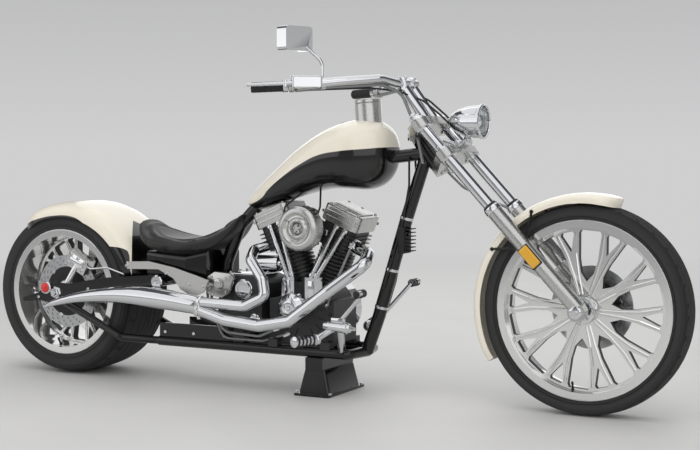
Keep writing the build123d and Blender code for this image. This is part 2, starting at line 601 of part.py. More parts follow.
bracket = [rod((166, -RAIL_Y, RAIL_Z), (180, -150, 262), 14),
           rod((180, -150, 262), (180, -205, 268), 14)]
peg = [rod((180, -200, 268), (114, -212, 224), 12), rod((114, -212, 224), (84, -318, 226), 17)]
pedal = [rod((180, -196, 268), (300, -205, 400), 8), rod((300, -200, 400), (304, -258, 402), 12)]
nodes["foot_controls"] = cut(both_sides(join(*bracket, *peg, *pedal)), nodes["frame_rails"])

rear_caliper_at = polar(rear_axle, REAR_DISC_R - 10, 62, REAR_DISC_Y + DISC_T / 2)
disc_space = lathe([(REAR_DISC_Y - CLEAR, 0.0), (REAR_DISC_Y - CLEAR, REAR_DISC_R + CLEAR),
                    (REAR_DISC_Y + DISC_T + CLEAR, REAR_DISC_R + CLEAR),
                    (REAR_DISC_Y + DISC_T + CLEAR, 0.0)], rear_axle)
caliper = Pos(rear_caliper_at) * Rot(0, 28, 0) * Box(104, 46, 66)
anchor = rod(rear_caliper_at + Vector(0, -10, 0),
             (rear_caliper_at.X - 36, -BLADE_Y[0] - 1, rear_axle.Z + 20), 12)
nodes["rear_caliper"] = cut(join(caliper, anchor), disc_space, nodes["swingarm"])

LAMP_Y = BLADE_Y[1] + SEAT_FIT
nodes["rear_lamps"] = both_sides(rod((-1136, -LAMP_Y, 352), (-1136, -LAMP_Y - 24, 352), 25, 19))

gauge = join(rod((222, 0, 1000), (215, 0, 1094), 49), rod((112, 46, 985), (110, 47, 1013), 28))
nodes["tank_caps"] = cut(gauge, nodes["fuel_tank"], nodes["frame_backbone"])

# ---------------------------------------------------------------- stands
PEDESTAL_TOP = RAIL_Z - RAIL_R - SEAT_FIT
pedestal_low = Plane.XY * Pos(56, 0) * RectangleRounded(150, 300, 12)
pedestal = join(extrude(pedestal_low, amount=10),
                loft([Plane.XY.offset(10) * Pos(56, 0) * RectangleRounded(130, 250, 12),
                      Plane.XY.offset(96) * Pos(56, 0) * RectangleRounded(86, 240, 12)],
                     ruled=True),
                block((20, 92), (-125, 125), (96, PEDESTAL_TOP)))
nodes["floor_stand"] = pedestal

SIDE_PIVOT = Vector(-120, RAIL_Y + RAIL_R + 22, RAIL_Z)
SIDE_LENGTH = 140.0
SIDE_TILT = 20.0          # the hinge axis rises this much outwards
side_axis = Vector(0, cos(radians(SIDE_TILT)), sin(radians(SIDE_TILT)))
pin = rod(SIDE_PIVOT - side_axis * 34, SIDE_PIVOT + side_axis * 9, 7)
eye = rod(SIDE_PIVOT - side_axis * 9, SIDE_PIVOT + side_axis * 9, 15)
side_end = SIDE_PIVOT - Vector(SIDE_LENGTH, 0, 0)
leg = join(eye, rod(SIDE_PIVOT - Vector(11, 0, 0), side_end, 8.5),
           rod(side_end + Vector(12, 0, 0), side_end - Vector(6, 0, 0), 14))
nodes["side_stand"] = cut(leg, rod(SIDE_PIVOT - side_axis * 40, SIDE_PIVOT + side_axis * 40,
                                   7 + RUNNING_FIT))
bracket = rod(SIDE_PIVOT - side_axis * 34, SIDE_PIVOT - side_axis * 9.5, 13)
nodes["side_stand_pivot"] = cut(join(pin, bracket), rails(SEAT_FIT))

for name, piece in nodes.items():
    export_step(piece, f"parts/{name}.step")
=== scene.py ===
"""Finished pieces, materials, floor and light of a long raked chopper, laid over its frame."""
from math import acos, atan2, cos, degrees, pi, radians, sin

import bmesh
import bpy
from bpy.props import FloatProperty, FloatVectorProperty, IntProperty, PointerProperty
from mathutils import Matrix, Vector


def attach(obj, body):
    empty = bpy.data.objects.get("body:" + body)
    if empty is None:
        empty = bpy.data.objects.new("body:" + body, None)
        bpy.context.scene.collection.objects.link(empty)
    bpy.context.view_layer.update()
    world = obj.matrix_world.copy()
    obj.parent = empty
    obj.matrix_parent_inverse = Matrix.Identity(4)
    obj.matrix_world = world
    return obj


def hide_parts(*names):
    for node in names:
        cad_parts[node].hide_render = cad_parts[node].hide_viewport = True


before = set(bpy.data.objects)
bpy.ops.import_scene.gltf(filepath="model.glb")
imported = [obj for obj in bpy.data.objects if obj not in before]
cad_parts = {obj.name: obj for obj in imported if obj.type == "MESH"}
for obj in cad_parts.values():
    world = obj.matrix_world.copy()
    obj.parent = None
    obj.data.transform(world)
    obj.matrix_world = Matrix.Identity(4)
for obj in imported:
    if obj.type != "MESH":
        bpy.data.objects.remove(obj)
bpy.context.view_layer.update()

bl_info = {
    "name": "Raked chopper",
    "version": (1, 0, 0),
    "blender": (4, 5, 0),
    "location": "3D View > Sidebar > Chopper",
    "description": "Adds the finished pieces, materials, floor and light of a raked chopper",
    "category": "Object",
}


def linear(hex_colour):
    """Linear red, green and blue of an sRGB hex colour."""
    channels = [int(hex_colour[i:i + 2], 16) / 255 for i in (1, 3, 5)]
    return tuple(c / 12.92 if c <= 0.04045 else ((c + 0.055) / 1.055) ** 2.4 for c in channels)


# ---------------------------------------------------------------- sizes and colours
def length(name, description, default, low, high):
    """A size in metres that a user may set."""
    return FloatProperty(name=name, description=description, default=default, min=low,
                         max=high, unit="LENGTH")


def paint(name, description, hex_colour):
    """A colour that a user may set."""
    return FloatVectorProperty(name=name, description=description, subtype="COLOR",
                               default=linear(hex_colour), size=3, min=0, max=1)


class ChopperSizes(bpy.types.PropertyGroup):
    """Sizes of the dressing that can change without moving the frame."""
    tread_depth: length("Tread depth", "Depth of the tyres' grooves", 0.0045, 0.001, 0.008)
    edge_round: length("Edge rounding", "Radius on the levers' edges", 0.0025, 0.0002, 0.006)
    leather_grain: length("Leather grain", "Size of one pebble of grain", 0.0022, 0.0005, 0.006)
    seat_swell: length("Seat swell", "Most that the seat's pad may swell", 0.010, 0.0, 0.03)
    disc_holes: IntProperty(name="Disc holes", description="Drillings in one ring of a disc",
                            default=24, min=8, max=48)


class ChopperColours(bpy.types.PropertyGroup):
    """Colours of the paint, trim and lenses."""
    cream: paint("Cream", "Enamel on the tank and fenders", "#F2EBDA")
    black: paint("Black", "Enamel and powder coat on the frame", "#0C0B0C")
    leather: paint("Leather", "Saddle leather", "#191716")
    amber: paint("Amber", "Side marker lens", "#DDA62C")
    red: paint("Red", "Rear lamp lens", "#C41A12")


# ---------------------------------------------------------------- frame's own sizes, mm
FRONT_AXLE = Vector((1058.5, 0, 364))
REAR_AXLE = Vector((-1089.5, 0, 333))
REAR_FENDER_AT = Vector((-1075, 0, 316))
CRANK = Vector((-2, 0, 300))
VEE_HALF = 22.5         # degrees that each cylinder leans
TAIL_X, TAIL_DEPTH = -1196, 134
FORK_RAKE, STEER_RAKE = radians(43.1), radians(38.0)
LEG_Y = 108
LEG_DIR = Vector((sin(FORK_RAKE), 0, -cos(FORK_RAKE)))
STEER_DIR = Vector((sin(STEER_RAKE), 0, -cos(STEER_RAKE)))
STEER_OUT = Vector((cos(STEER_RAKE), 0, sin(STEER_RAKE)))
AHEAD, ACROSS, UP = Vector((1, 0, 0)), Vector((0, 1, 0)), Vector((0, 0, 1))
RIGHT = -ACROSS
# each side with the flip that takes a point on the right there
SIDES = ((-1, Matrix.Identity(3)), (1, Matrix.Diagonal((1, -1, 1))))


def leg_at(z, y=0.0):
    """Point of a fork leg's axis at a height."""
    run = (z - FRONT_AXLE.z) / LEG_DIR.z
    return Vector((FRONT_AXLE.x + 10 + run * LEG_DIR.x, y, z))


def polar(centre, radius, angle, y=0.0):
    """Point on a circle in a side view, anticlockwise from +X seen from the right."""
    return Vector((centre.x + radius * cos(radians(angle)), y,
                   centre.z + radius * sin(radians(angle))))


def heading(out):
    """Angle of a direction in a side view, from 0 to 360 degrees."""
    return degrees(atan2(out.z, out.x)) % 360


def facing(axis, up=UP):
    """Turn that takes X along axis and Z as near to up as it can go."""
    ahead = Vector(axis).normalized()
    side = Vector(up).cross(ahead).normalized()
    return Matrix((ahead, side, ahead.cross(side))).transposed()


# ---------------------------------------------------------------- modelling helpers, mm
def new_verts(made):
    """Vertices among what an operator gave back."""
    return [g for g in made if isinstance(g, bmesh.types.BMVert)]


def edges_among(verts):
    """Edges with both ends among these vertices."""
    chosen = set(verts)
    return list({e for v in verts for e in v.link_edges
                 if e.verts[0] in chosen and e.verts[1] in chosen})


def turn(bm, profile, origin, axis, steps=48, begin=None, lean=None):
    """Spin (along, radius) points about an axis through origin.

    begin is the direction of the first ring. lean gives each point's own start angle.
    """
    axis, origin = Vector(axis).normalized(), Vector(origin)
    begin = Vector(begin) if begin else axis.orthogonal()
    begin = (begin - axis * axis.dot(begin)).normalized()
    verts = []
    for index, (along, radius) in enumerate(profile):
        out = Matrix.Rotation(lean[index], 3, axis) @ begin if lean else begin
        verts.append(bm.verts.new(origin + axis * along + out * radius))
    edges = [bm.edges.new(pair) for pair in zip(verts, verts[1:])]
    bmesh.ops.spin(bm, geom=verts + edges, cent=origin, axis=axis, angle=2 * pi, steps=steps,
                   use_merge=True)


def barrel(low, high, radius, edge, core=0.0):
    """Profile of a drum from low to high with its edges cut off."""
    return [(low, core), (low, radius - edge), (low + edge, radius), (high - edge, radius),
            (high, radius - edge), (high, core)]


def arc_shell(bm, section, centre, start, sweep, steps):
    """Spin a closed (y, radius) section about the cross axis and close both ends."""
    turned = Matrix.Rotation(-radians(start), 3, "Y")
    verts = [bm.verts.new(centre + turned @ Vector((radius, y, 0))) for y, radius in section]
    face = bm.faces.new(verts)
    bmesh.ops.spin(bm, geom=verts + list(face.edges) + [face], cent=centre, axis=RIGHT,
                   angle=radians(sweep), steps=steps)


def pipe(bm, route, radius, bend=20.0, sides=16, arc_steps=6, end_radius=None):
    """Round bar along straight runs with spun arcs at the corners; both ends closed."""
    points = [Vector(point) for point in route]
    ahead = [(b - a).normalized() for a, b in zip(points, points[1:])]
    upright = ahead[0].to_track_quat("Z", "Y").to_matrix().to_4x4()
    here = points[0]
    ring = list(bmesh.ops.create_circle(bm, cap_ends=True, segments=sides, radius=radius,
                                        matrix=Matrix.Translation(here) @ upright)["verts"])

    def run_to(point):
        nonlocal ring, here
        ring = new_verts(bmesh.ops.extrude_edge_only(bm, edges=edges_among(ring))["geom"])
        bmesh.ops.translate(bm, verts=ring, vec=point - here)
        here = point

    for last, corner, after, before, onward in zip(points, points[1:], points[2:], ahead,
                                                   ahead[1:]):
        angle = before.angle(onward)
        if angle < radians(1):
            continue
        room = min((corner - last).length, (after - corner).length) * 0.48
        setback = min(bend * (1 - cos(angle)) / sin(angle) if angle < pi - 0.01 else room, room)
        reach = setback * sin(angle) / (1 - cos(angle))
        run_to(corner - before * setback)
        axis = before.cross(onward).normalized()
        out = bmesh.ops.spin(bm, geom=ring + edges_among(ring), axis=axis, angle=angle,
                             cent=here + axis.cross(before) * reach, steps=arc_steps)
        ring = new_verts(out["geom_last"])
        here = corner + onward * setback
    run_to(points[-1])
    if end_radius is not None:
        bmesh.ops.scale(bm, verts=ring, vec=[end_radius / radius] * 3,
                        space=Matrix.Translation(-here))
    bmesh.ops.contextual_create(bm, geom=edges_among(ring))


def round_edges(bm, verts, edge, segments=2):
    """Round every edge between these vertices."""
    if edge:
        bmesh.ops.bevel(bm, geom=edges_among(verts), offset=edge, segments=segments,
                        affect="EDGES", profile=0.5, material=-1, clamp_overlap=True)


def slab(bm, outline, low, high, edge=0.0):
    """Plate with an (x, z) outline from y = low to y = high, edges rounded."""
    verts = [bm.verts.new((x, low, z)) for x, z in outline]
    far = new_verts(bmesh.ops.extrude_face_region(bm, geom=[bm.faces.new(verts)])["geom"])
    bmesh.ops.translate(bm, verts=far, vec=(0, high - low, 0))
    round_edges(bm, verts + far, edge)


def brick(bm, middle, size, edge=0.0, spin_by=None, segments=2):
    """Box with rounded edges, turned by a matrix about its middle."""
    place = Matrix.Translation(Vector(middle)) @ (spin_by or Matrix()).to_4x4()
    made = bmesh.ops.create_cube(bm, size=1.0, matrix=place @ Matrix.Diagonal((*size, 1)))
    round_edges(bm, made["verts"], edge, segments)


def socket_bolt(bm, seat, axis, radius, height=None):
    """Cap screw with a dished socket, standing on seat along axis."""
    height = height or radius * 1.1
    turn(bm, [(0, 0), (0, radius), (height * 0.85, radius), (height, radius * 0.86),
              (height, radius * 0.5), (height * 0.45, radius * 0.45), (height * 0.45, 0)],
         seat, axis, steps=12)


def face_bolts(bm, spots, y, way, radius, height):
    """Cap screws at (x, z) spots of an upright face."""
    for x, z in spots:
        socket_bolt(bm, (x, y, z), way, radius, height)


def bolt_ring(bm, centre, y, radius, count, size, way=RIGHT, start=0.0, height=None):
    """Cap screws evenly round a circle in a side view."""
    for index in range(count):
        spot = polar(centre, radius, start + index * 360 / count, y)
        socket_bolt(bm, spot, way, size, height)


def hoop(bm, middle, half_wide, half_high, power=2.0, sides=24):
    """Upright ring across the machine, from round (power 2) to squarer."""
    made = bmesh.ops.create_circle(bm, segments=sides, radius=1.0)
    for vert in made["verts"]:
        across, up = (abs(v) ** (2 / power) * (1 if v > 0 else -1) for v in vert.co.xy)
        vert.co = Vector(middle) + Vector((0, across * half_wide, up * half_high))
    return list({e for v in made["verts"] for e in v.link_edges})


def skin_over(bm, hoops):
    """Join neighbouring hoops and close both ends."""
    for first, second in zip(hoops, hoops[1:]):
        bmesh.ops.bridge_loops(bm, edges=first + second)
    for end in (hoops[0], hoops[-1]):
        bmesh.ops.contextual_create(bm, geom=end)


def tidy_mesh(bm):
    """Merge doubles and point every face outwards."""
    bmesh.ops.remove_doubles(bm, verts=bm.verts, dist=0.02)
    bmesh.ops.recalc_face_normals(bm, faces=bm.faces)


def make_piece(name, bm, finish, body="chassis", stands_for=None, crease=32.0,
               unit=0.001):
    """Object from a mesh in millimetres, shaded smooth up to its creases, on its body."""
    bmesh.ops.remove_doubles(bm, verts=bm.verts, dist=2e-5 / unit)
    bmesh.ops.delete(bm, geom=[v for v in bm.verts if not v.link_faces], context="VERTS")
    bmesh.ops.recalc_face_normals(bm, faces=bm.faces)
    bmesh.ops.scale(bm, verts=bm.verts, vec=(unit, unit, unit))
    mesh = bpy.data.meshes.new(name)
    bm.to_mesh(mesh)
    bm.free()
    mesh.polygons.foreach_set("use_smooth", [True] * len(mesh.polygons))
    mesh.set_sharp_from_angle(angle=radians(crease))
    mesh.materials.append(bpy.data.materials[finish])
    piece = bpy.data.objects.new(name, mesh)
    bpy.context.scene.collection.objects.link(piece)
    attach(piece, body)
    if stands_for:
        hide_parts(stands_for)
    return piece


def softened(node, finish, body, width):
    """Copy of a frame node with its edges rounded, shown in the node's place."""
    bm = bmesh.new()
    bm.from_mesh(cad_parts[node].data)
    bmesh.ops.remove_doubles(bm, verts=bm.verts, dist=2e-5)
    bmesh.ops.dissolve_limit(bm, angle_limit=radians(0.6), verts=bm.verts, edges=bm.edges)
    piece = make_piece(node + "_finished", bm, finish, body, node, unit=1.0)
    rounding = piece.modifiers.new("edge rounding", "BEVEL")
    rounding.width = width / 1000 if width else bpy.context.scene.chopper_sizes.edge_round
    rounding.segments = 2
    rounding.limit_method = "ANGLE"
    rounding.angle_limit = radians(38)
    rounding.harden_normals = True
    return piece


# ---------------------------------------------------------------- materials
def add_node(tree, kind, settings=None, links=None):
    """Add a node: settings name its attributes or sockets, links give sockets their source."""
    made = tree.nodes.new("ShaderNode" + kind)
    for key, value in (settings or {}).items():
        if isinstance(key, str) and hasattr(made, key):
            setattr(made, key, value)
        else:
            made.inputs[key].default_value = value
    for key, source in (links or {}).items():
        tree.links.new(source, made.inputs[key])
    return made


WAVE = 20 / pi          # size of a wave texture whose crest and trough are 1 mm apart
ENAMEL = {"Coat Weight": 1.0, "Coat Roughness": 0.04, "Specular IOR Level": 0.15}
# name, slot, colour, metallic, roughness, texture, size of its features in mm, its settings,
# range of roughness that it gives, strength and depth in mm of its relief, shader's sockets
FINISHES = (
    # Two-pack enamel, sprayed and clear coated: a deep even gloss with faint orange peel
    *((name, "cream_paint", "cream", 0.0, 0.32, "Noise", 6, {"Detail": 2.0}, None,
       (0.035, 0.6, "Coat Normal"), ENAMEL)
      for name in ("cream_enamel", "two_tone_tank_enamel", "two_tone_fender_enamel")),
    # Gloss black powder coat: wet shine, very slight texture
    ("black_powder_coat", "black_paint", "black", 0.0, 0.22, "Noise", 3, {"Detail": 3.0}, None,
     (0.06, 0.4), {"Coat Weight": 0.8, "Coat Roughness": 0.06, "Specular IOR Level": 0.15}),
    # Plated steel: chrome with faint wiping marks that break the reflection a little
    ("chrome_plate", "chrome", "#D9DADC", 1.0, 0.07, "Noise", 40, {"Detail": 4.0},
     (0.03, 0.12), None, {}),
    # Polished aluminium: softer and slightly warmer than chrome, with buffing lines
    ("polished_aluminium", "polished_aluminium", "#B7B7B6", 1.0, 0.16, "Noise", 12,
     {"Detail": 5.0, "Distortion": 0.6}, (0.1, 0.24), (0.04, 0.5), {}),
    # Painted shade in the wheels' pockets: dark grey, satin, faintly speckled, so each window's
    # walls read as shadowed
    ("pocket_enamel", "black_paint", "#2B2B2D", 0.2, 0.45, "Noise", 2, {}, (0.38, 0.52), None,
     {}),
    # Satin aluminium: machined and lacquered, brushed by a fine abrasive
    ("satin_aluminium", "chrome", "#C6C6C4", 1.0, 0.28, "Noise", 4, {"Detail": 4.0},
     (0.2, 0.36), None, {}),
    # Engine wrinkle coat: black baked enamel, satin, puckered every 1.6 mm
    ("black_wrinkle_coat", "black_paint", "#292829", 0.0, 0.4, "Noise", 1.6,
     {"Detail": 4.0, "Distortion": 1.2}, None, (0.35, 0.4), {}),
    # Stainless braid over a hose: crossed wires about 1.2 mm apart
    ("braided_steel", "chrome", "#9A9B9D", 1.0, 0.34, "Checker", 1.2, {}, None, (0.6, 0.5), {}),
    # Stove enamel on the gauge's dial: flat off-white
    ("dial_enamel", "cream_paint", "#E4E2DA", 0.0, 0.5, "Noise", 10, {}, (0.42, 0.58), None, {}),
    # Sand-cast aluminium: dull silver, pebbled by the mould's sand, drawn at 1.4 mm
    ("cast_aluminium", "polished_aluminium", "#B4B3AF", 1.0, 0.42, "Voronoi", 1.4, {}, None,
     (0.25, 0.4), {}),
    # Silver enamel: satin, with metallic flake drawn at 2 mm to show
    ("silver_enamel", "silver_paint", "#D0CFCC", 0.9, 0.24, "Voronoi", 2, {}, None,
     (0.08, 0.3), {"Coat Weight": 0.5, "Coat Roughness": 0.15}),
    # Ground stainless discs: rings left by the grinding wheel, drawn 3 mm apart to show
    *((name, "disc_steel", "#B9BABB", 1.0, 0.27, "Wave", 1.5 * WAVE,
       {"wave_type": "RINGS", "rings_direction": "Y"}, None, (0.12, 0.3), {})
      for name in ("front_disc_steel", "rear_disc_steel")),
    # Tyre compound: carbon-black rubber, matt, with a little dust in the pores
    ("tyre_rubber", "tyre_rubber", "#161616", 0.0, 0.62, "Noise", 1.5, {"Detail": 3.0}, None,
     (0.3, 0.4), {}),
    # Moulded rubber of grips, pegs and hoses: satin black with a fine tooth
    ("moulded_rubber", "black_plastic", "#171717", 0.0, 0.5, "Noise", 1.2, {"Detail": 2.0},
     None, (0.2, 0.3), {}),
    # Injection-moulded nylon: matt black with spark-eroded texture
    ("moulded_nylon", "black_plastic", "#141414", 0.0, 0.55, "Noise", 1, {"Detail": 2.0}, None,
     (0.25, 0.3), {}),
    # Acrylic lenses: coloured through, with moulded prisms behind a smooth face, and a faint
    # painted glow from emission, as though light shone through them
    ("amber_acrylic", "cream_paint", "amber", 0.0, 0.12, "Checker", 4, {}, None, (0.25, 0.6),
     {"Coat Weight": 0.6, "Emission Strength": 0.06}),
    ("red_acrylic", "red_lens", "red", 0.0, 0.12, "Checker", 4, {}, None, (0.25, 0.6),
     {"Coat Weight": 0.6, "Emission Strength": 0.15}),
    # Pressed headlamp glass: clear, with vertical flutes 16 mm apart
    ("lamp_glass", "chrome", "#F4F6F7", 0.0, 0.05, "Wave", 8 * WAVE, {"bands_direction": "Y"},
     None, (0.3, 1.0), {"IOR": 1.5, "Transmission Weight": 0.85}),
    # Silvered mirror glass: nearly perfect reflection with slight haze in patches
    ("silvered_glass", "chrome", "#CDD2D4", 1.0, 0.02, "Noise", 30, {}, (0.01, 0.05), None,
     {"Coat Weight": 1.0}),
    # Full-grain saddle leather, dressed: pebbled grain, dark and smooth or paler and drier
    ("saddle_leather", "leather", "leather", 0.0, 0.45, None, 1, {}, None, None,
     {"Sheen Weight": 0.12}),
    # Painted studio floor: pale, matt, faintly mottled
    ("floor_paint", None, "#D9D8D6", 0.0, 0.6, None, 1, {}, None, None, {}),
)
# size in mm and detail of the clouds between two tones
TONES = {"cast_aluminium": (50, 3.0, "#A19F9A", "#C2C1BE"),
         "tyre_rubber": (30, 6.0, "#111111", "#232220"),
         "floor_paint": (500, 3.0, "#D3D2D0", "#DEDDDB")}
RING_CENTRES = {"front_disc_steel": FRONT_AXLE, "rear_disc_steel": REAR_AXLE}
# (x, z) in mm along the painted line between black and cream
TANK_LINE = ((-300, 690), (-198, 727), (-168, 753), (-82, 810), (2, 855), (86, 889),
             (168, 903), (289, 914), (349, 922), (400, 940))
FENDER_LINE = ((-1340, 575), (-1196, 625), (-1109, 641), (-1033, 641), (-984, 626),
               (-935, 583), (-901, 545), (-862, 530), (-775, 517), (-756, 494),
               (-744, 436), (-736, 330))
# line, ranges of x and z that hold it, and its vee: x of the point and slope outwards
TWO_TONES = {"two_tone_tank_enamel": (TANK_LINE, (-300, 400), (600, 1040), None),
             "two_tone_fender_enamel": (FENDER_LINE, (-1340, -680), (300, 720),
                                        (-842, 0.669))}


def two_tone(tree, place, boundary, x_range, z_range, vee):
    """Cream above and black below a painted line, and black ahead of its vee."""
    colours = bpy.context.scene.chopper_colours
    axes = add_node(tree, "SeparateXYZ", links={0: place})
    along, height = (
        add_node(tree, "MapRange", {"From Min": low / 1000, "From Max": high / 1000},
                 {"Value": axes.outputs[axis]}).outputs[0]
        for axis, (low, high) in (("X", x_range), ("Z", z_range)))
    line = add_node(tree, "FloatCurve", links={"Value": along})
    points = line.mapping.curves[0].points
    (x_low, x_high), (z_low, z_high) = x_range, z_range
    table = [((x - x_low) / (x_high - x_low), (z - z_low) / (z_high - z_low)) for x, z in boundary]
    points[0].location, points[1].location = table[0], table[-1]
    for spot in table[1:-1]:
        points.new(*spot)
    line.mapping.update()
    above = add_node(tree, "Math", {"operation": "SUBTRACT"}, {0: height, 1: line.outputs[0]})
    edge = add_node(tree, "MapRange", {"From Min": -0.002, "From Max": 0.002},
                    {"Value": above.outputs[0]})
    if vee:
        out = add_node(tree, "Math", {"operation": "ABSOLUTE"}, {0: axes.outputs["Y"]})
        front = add_node(tree, "Math", {"operation": "MULTIPLY_ADD", 1: vee[1],
                                        2: vee[0] / 1000}, {0: out.outputs[0]})
        behind = add_node(tree, "Math", {"operation": "GREATER_THAN"},
                          {0: front.outputs[0], 1: axes.outputs["X"]})
        edge = add_node(tree, "Math", {"operation": "MULTIPLY"},
                        {0: edge.outputs[0], 1: behind.outputs[0]})
    return add_node(tree, "Mix", {"data_type": "RGBA", 6: (*colours.black, 1),
                                  7: (*colours.cream, 1)}, {0: edge.outputs[0]}).outputs[2]


def make_finish(name, colour, metallic, roughness, texture, size, settings, haze, relief,
                sockets):
    """Material from one row of the table; gives its tree, shader and object coordinates."""
    material = bpy.data.materials.new(name)
    material.use_nodes = True
    tree = material.node_tree
    shader = tree.nodes["Principled BSDF"]
    colour = linear(colour) if colour[0] == "#" \
        else tuple(getattr(bpy.context.scene.chopper_colours, colour))
    sockets = {"Base Color": (*colour, 1), "Metallic": metallic, "Roughness": roughness, **sockets}
    if "Emission Strength" in sockets:
        sockets["Emission Color"] = (*colour, 1)
    for socket, value in sockets.items():
        shader.inputs[socket].default_value = value
    joined = {}
    place = at = add_node(tree, "TexCoord").outputs["Object"]
    if name in RING_CENTRES:
        at = add_node(tree, "Mapping", {"Location": -RING_CENTRES[name] / 1000},
                      {"Vector": place}).outputs[0]
    if texture:
        made = add_node(tree, "Tex" + texture, {"Scale": 1000 / size, **settings},
                        {"Vector": at}).outputs["Fac" if texture == "Checker" else 0]
    if haze:
        joined["Roughness"] = add_node(tree, "MapRange", {"To Min": haze[0], "To Max": haze[1]},
                                       {"Value": made}).outputs[0]
    if relief:
        strength, depth, *socket = relief
        joined[socket[0] if socket else "Normal"] = add_node(
            tree, "Bump", {"Strength": strength, "Distance": depth / 1000},
            {"Height": made}).outputs[0]
    if name in TONES:
        size, detail, low, high = TONES[name]
        clouds = add_node(tree, "TexNoise", {"Scale": 1000 / size, "Detail": detail},
                          {"Vector": place})
        joined["Base Color"] = add_node(
            tree, "Mix", {"data_type": "RGBA", 6: (*linear(low), 1), 7: (*linear(high), 1)},
            {0: clouds.outputs[0]}).outputs[2]
    if name in TWO_TONES:
        joined["Base Color"] = two_tone(tree, place, *TWO_TONES[name])
    for socket, source in joined.items():
        tree.links.new(source, shader.inputs[socket])
    return tree, shader, place


def grain_leather(tree, shader, place):
    """Pebbled grain on the saddle, between dark smooth places and pale dry ones."""
    leather = bpy.context.scene.chopper_colours.leather
    pebble = add_node(tree, "TexVoronoi", {
        "feature": "SMOOTH_F1", "Scale": 1 / bpy.context.scene.chopper_sizes.leather_grain},
        {"Vector": place})
    crease = add_node(tree, "TexNoise", {"Scale": 1 / 0.035, "Detail": 5.0},
                      {"Vector": place}).outputs[0]
    mixed = add_node(tree, "Math", {"operation": "MULTIPLY_ADD", 1: -0.5},
                     {0: pebble.outputs["Distance"], 2: crease})
    skin = add_node(tree, "Bump", {"Strength": 0.4, "Distance": 0.0008},
                    {"Height": mixed.outputs[0]})
    wear = add_node(tree, "MapRange", {"To Min": 0.34, "To Max": 0.55}, {"Value": crease})
    tone = add_node(tree, "Mix", {"data_type": "RGBA", 6: (*(v * 0.75 for v in leather), 1),
                                  7: (*(v * 1.5 for v in leather), 1)}, {0: crease})
    for socket, source in (("Normal", skin.outputs[0]), ("Roughness", wear.outputs[0]),
                           ("Base Color", tone.outputs[2])):
        tree.links.new(source, shader.inputs[socket])


# nodes that show as they are, or whose piece is made from new
NODE_FINISHES = {
    "black_powder_coat": ("frame_backbone", "frame_downtube", "frame_rails",
                          "side_stand_pivot"),
    "chrome_plate": ("tank_caps", "air_cleaner", "exhaust_headers", "muffler", "rear_axle",
                     "fork_tubes", "headlight", "front_axle"),
    "two_tone_fender_enamel": ("rear_fender",), "two_tone_tank_enamel": ("fuel_tank",),
    "cream_enamel": ("front_fender",), "saddle_leather": ("seat_pad",),
    "moulded_nylon": ("regulator",), "red_acrylic": ("rear_lamps",),
    "moulded_rubber": ("grips",), "tyre_rubber": ("front_tyre", "rear_tyre"),
    "polished_aluminium": ("front_rim", "rear_rim"), "front_disc_steel": ("front_disc",),
    "rear_disc_steel": ("rear_disc",),
}
# nodes shown with their edges rounded: body, finish, radius in mm (the user's size if None)
CASTINGS = (
    ("chassis", "satin_aluminium", {"rocker_covers": 6}),
    ("chassis", "black_wrinkle_coat", {"crankcase": 5, "transmission": 5, "cylinders": 0.9}),
    ("chassis", "chrome_plate", {"pushrod_tubes": 3, "cam_cover": 4, "primary_cover": 10}),
    ("chassis", "black_powder_coat", {"swingarm": 3}),
    ("chassis", "silver_enamel", {"side_struts": 2}),
    ("chassis", "black_powder_coat", {"oil_tank": 5, "floor_stand": 3}),
    ("chassis", "polished_aluminium", {"rear_caliper": 6}),
    ("chassis", "chrome_plate", {"foot_controls": 2}),
    ("fork", "satin_aluminium", {"triple_clamps": 4, "fork_sliders": 3}),
    ("fork", "polished_aluminium", {"front_caliper": 6}),
    ("fork", "chrome_plate", {"control_levers": None, "handlebar": 3, "mirror": 7}),
    ("rear_wheel", "cast_aluminium", {"rear_pulley": 2}),
    ("side_stand", "black_powder_coat", {"side_stand": 1.5}),
)


# ---------------------------------------------------------------- operators
def studio_walls(tree, along_y):
    """Grey of the studio's walls, darker behind the camera, and the rays that show them."""
    depth = add_node(tree, "MapRange", {"From Min": -0.7, "From Max": 0.3}, {"Value": along_y})
    ray = add_node(tree, "LightPath")
    shown = ray.outputs["Is Camera Ray"]
    for kind in ("Is Glossy Ray", "Is Transmission Ray"):
        shown = add_node(tree, "Math", {"operation": "MAXIMUM"},
                         {0: shown, 1: ray.outputs[kind]}).outputs[0]
    wall = add_node(tree, "Mix", {"data_type": "RGBA", 6: (*linear("#A2A2A4"), 1),
                                  7: (*linear("#CFCFCF"), 1)}, {0: depth.outputs[0]})
    return wall.outputs[2], shown


# place and width in metres, power in watts
LAMPS = (("key_softbox", (3.2, -4.2, 3.6), 7.0, 145),
         ("fill_softbox", (-3.6, -3.6, 2.9), 5.2, 78),
         ("back_softbox", (-1.5, 4.4, 3.4), 5.6, 92),
         ("top_softbox", (0.0, 0.0, 4.4), 4.9, 68))
LIT_AT = Vector((0, 0, 0.5))
FLOOR_HALF, FADE_FROM, FADE_TO = 120.0, 2.2, 7.0
CAMERA_AT, CAMERA_TURN, CAMERA_DOWN = (2.5205, -4.637, 0.934), radians(27.15), radians(3.36)


def aim_from(scene, name, data, spot, way):
    """Put a lamp or camera in the scene, looking along way."""
    holder = bpy.data.objects.new(name, data)
    holder.location = spot
    holder.rotation_euler = way.to_track_quat("-Z", "Y").to_euler()
    scene.collection.objects.link(holder)
    return holder


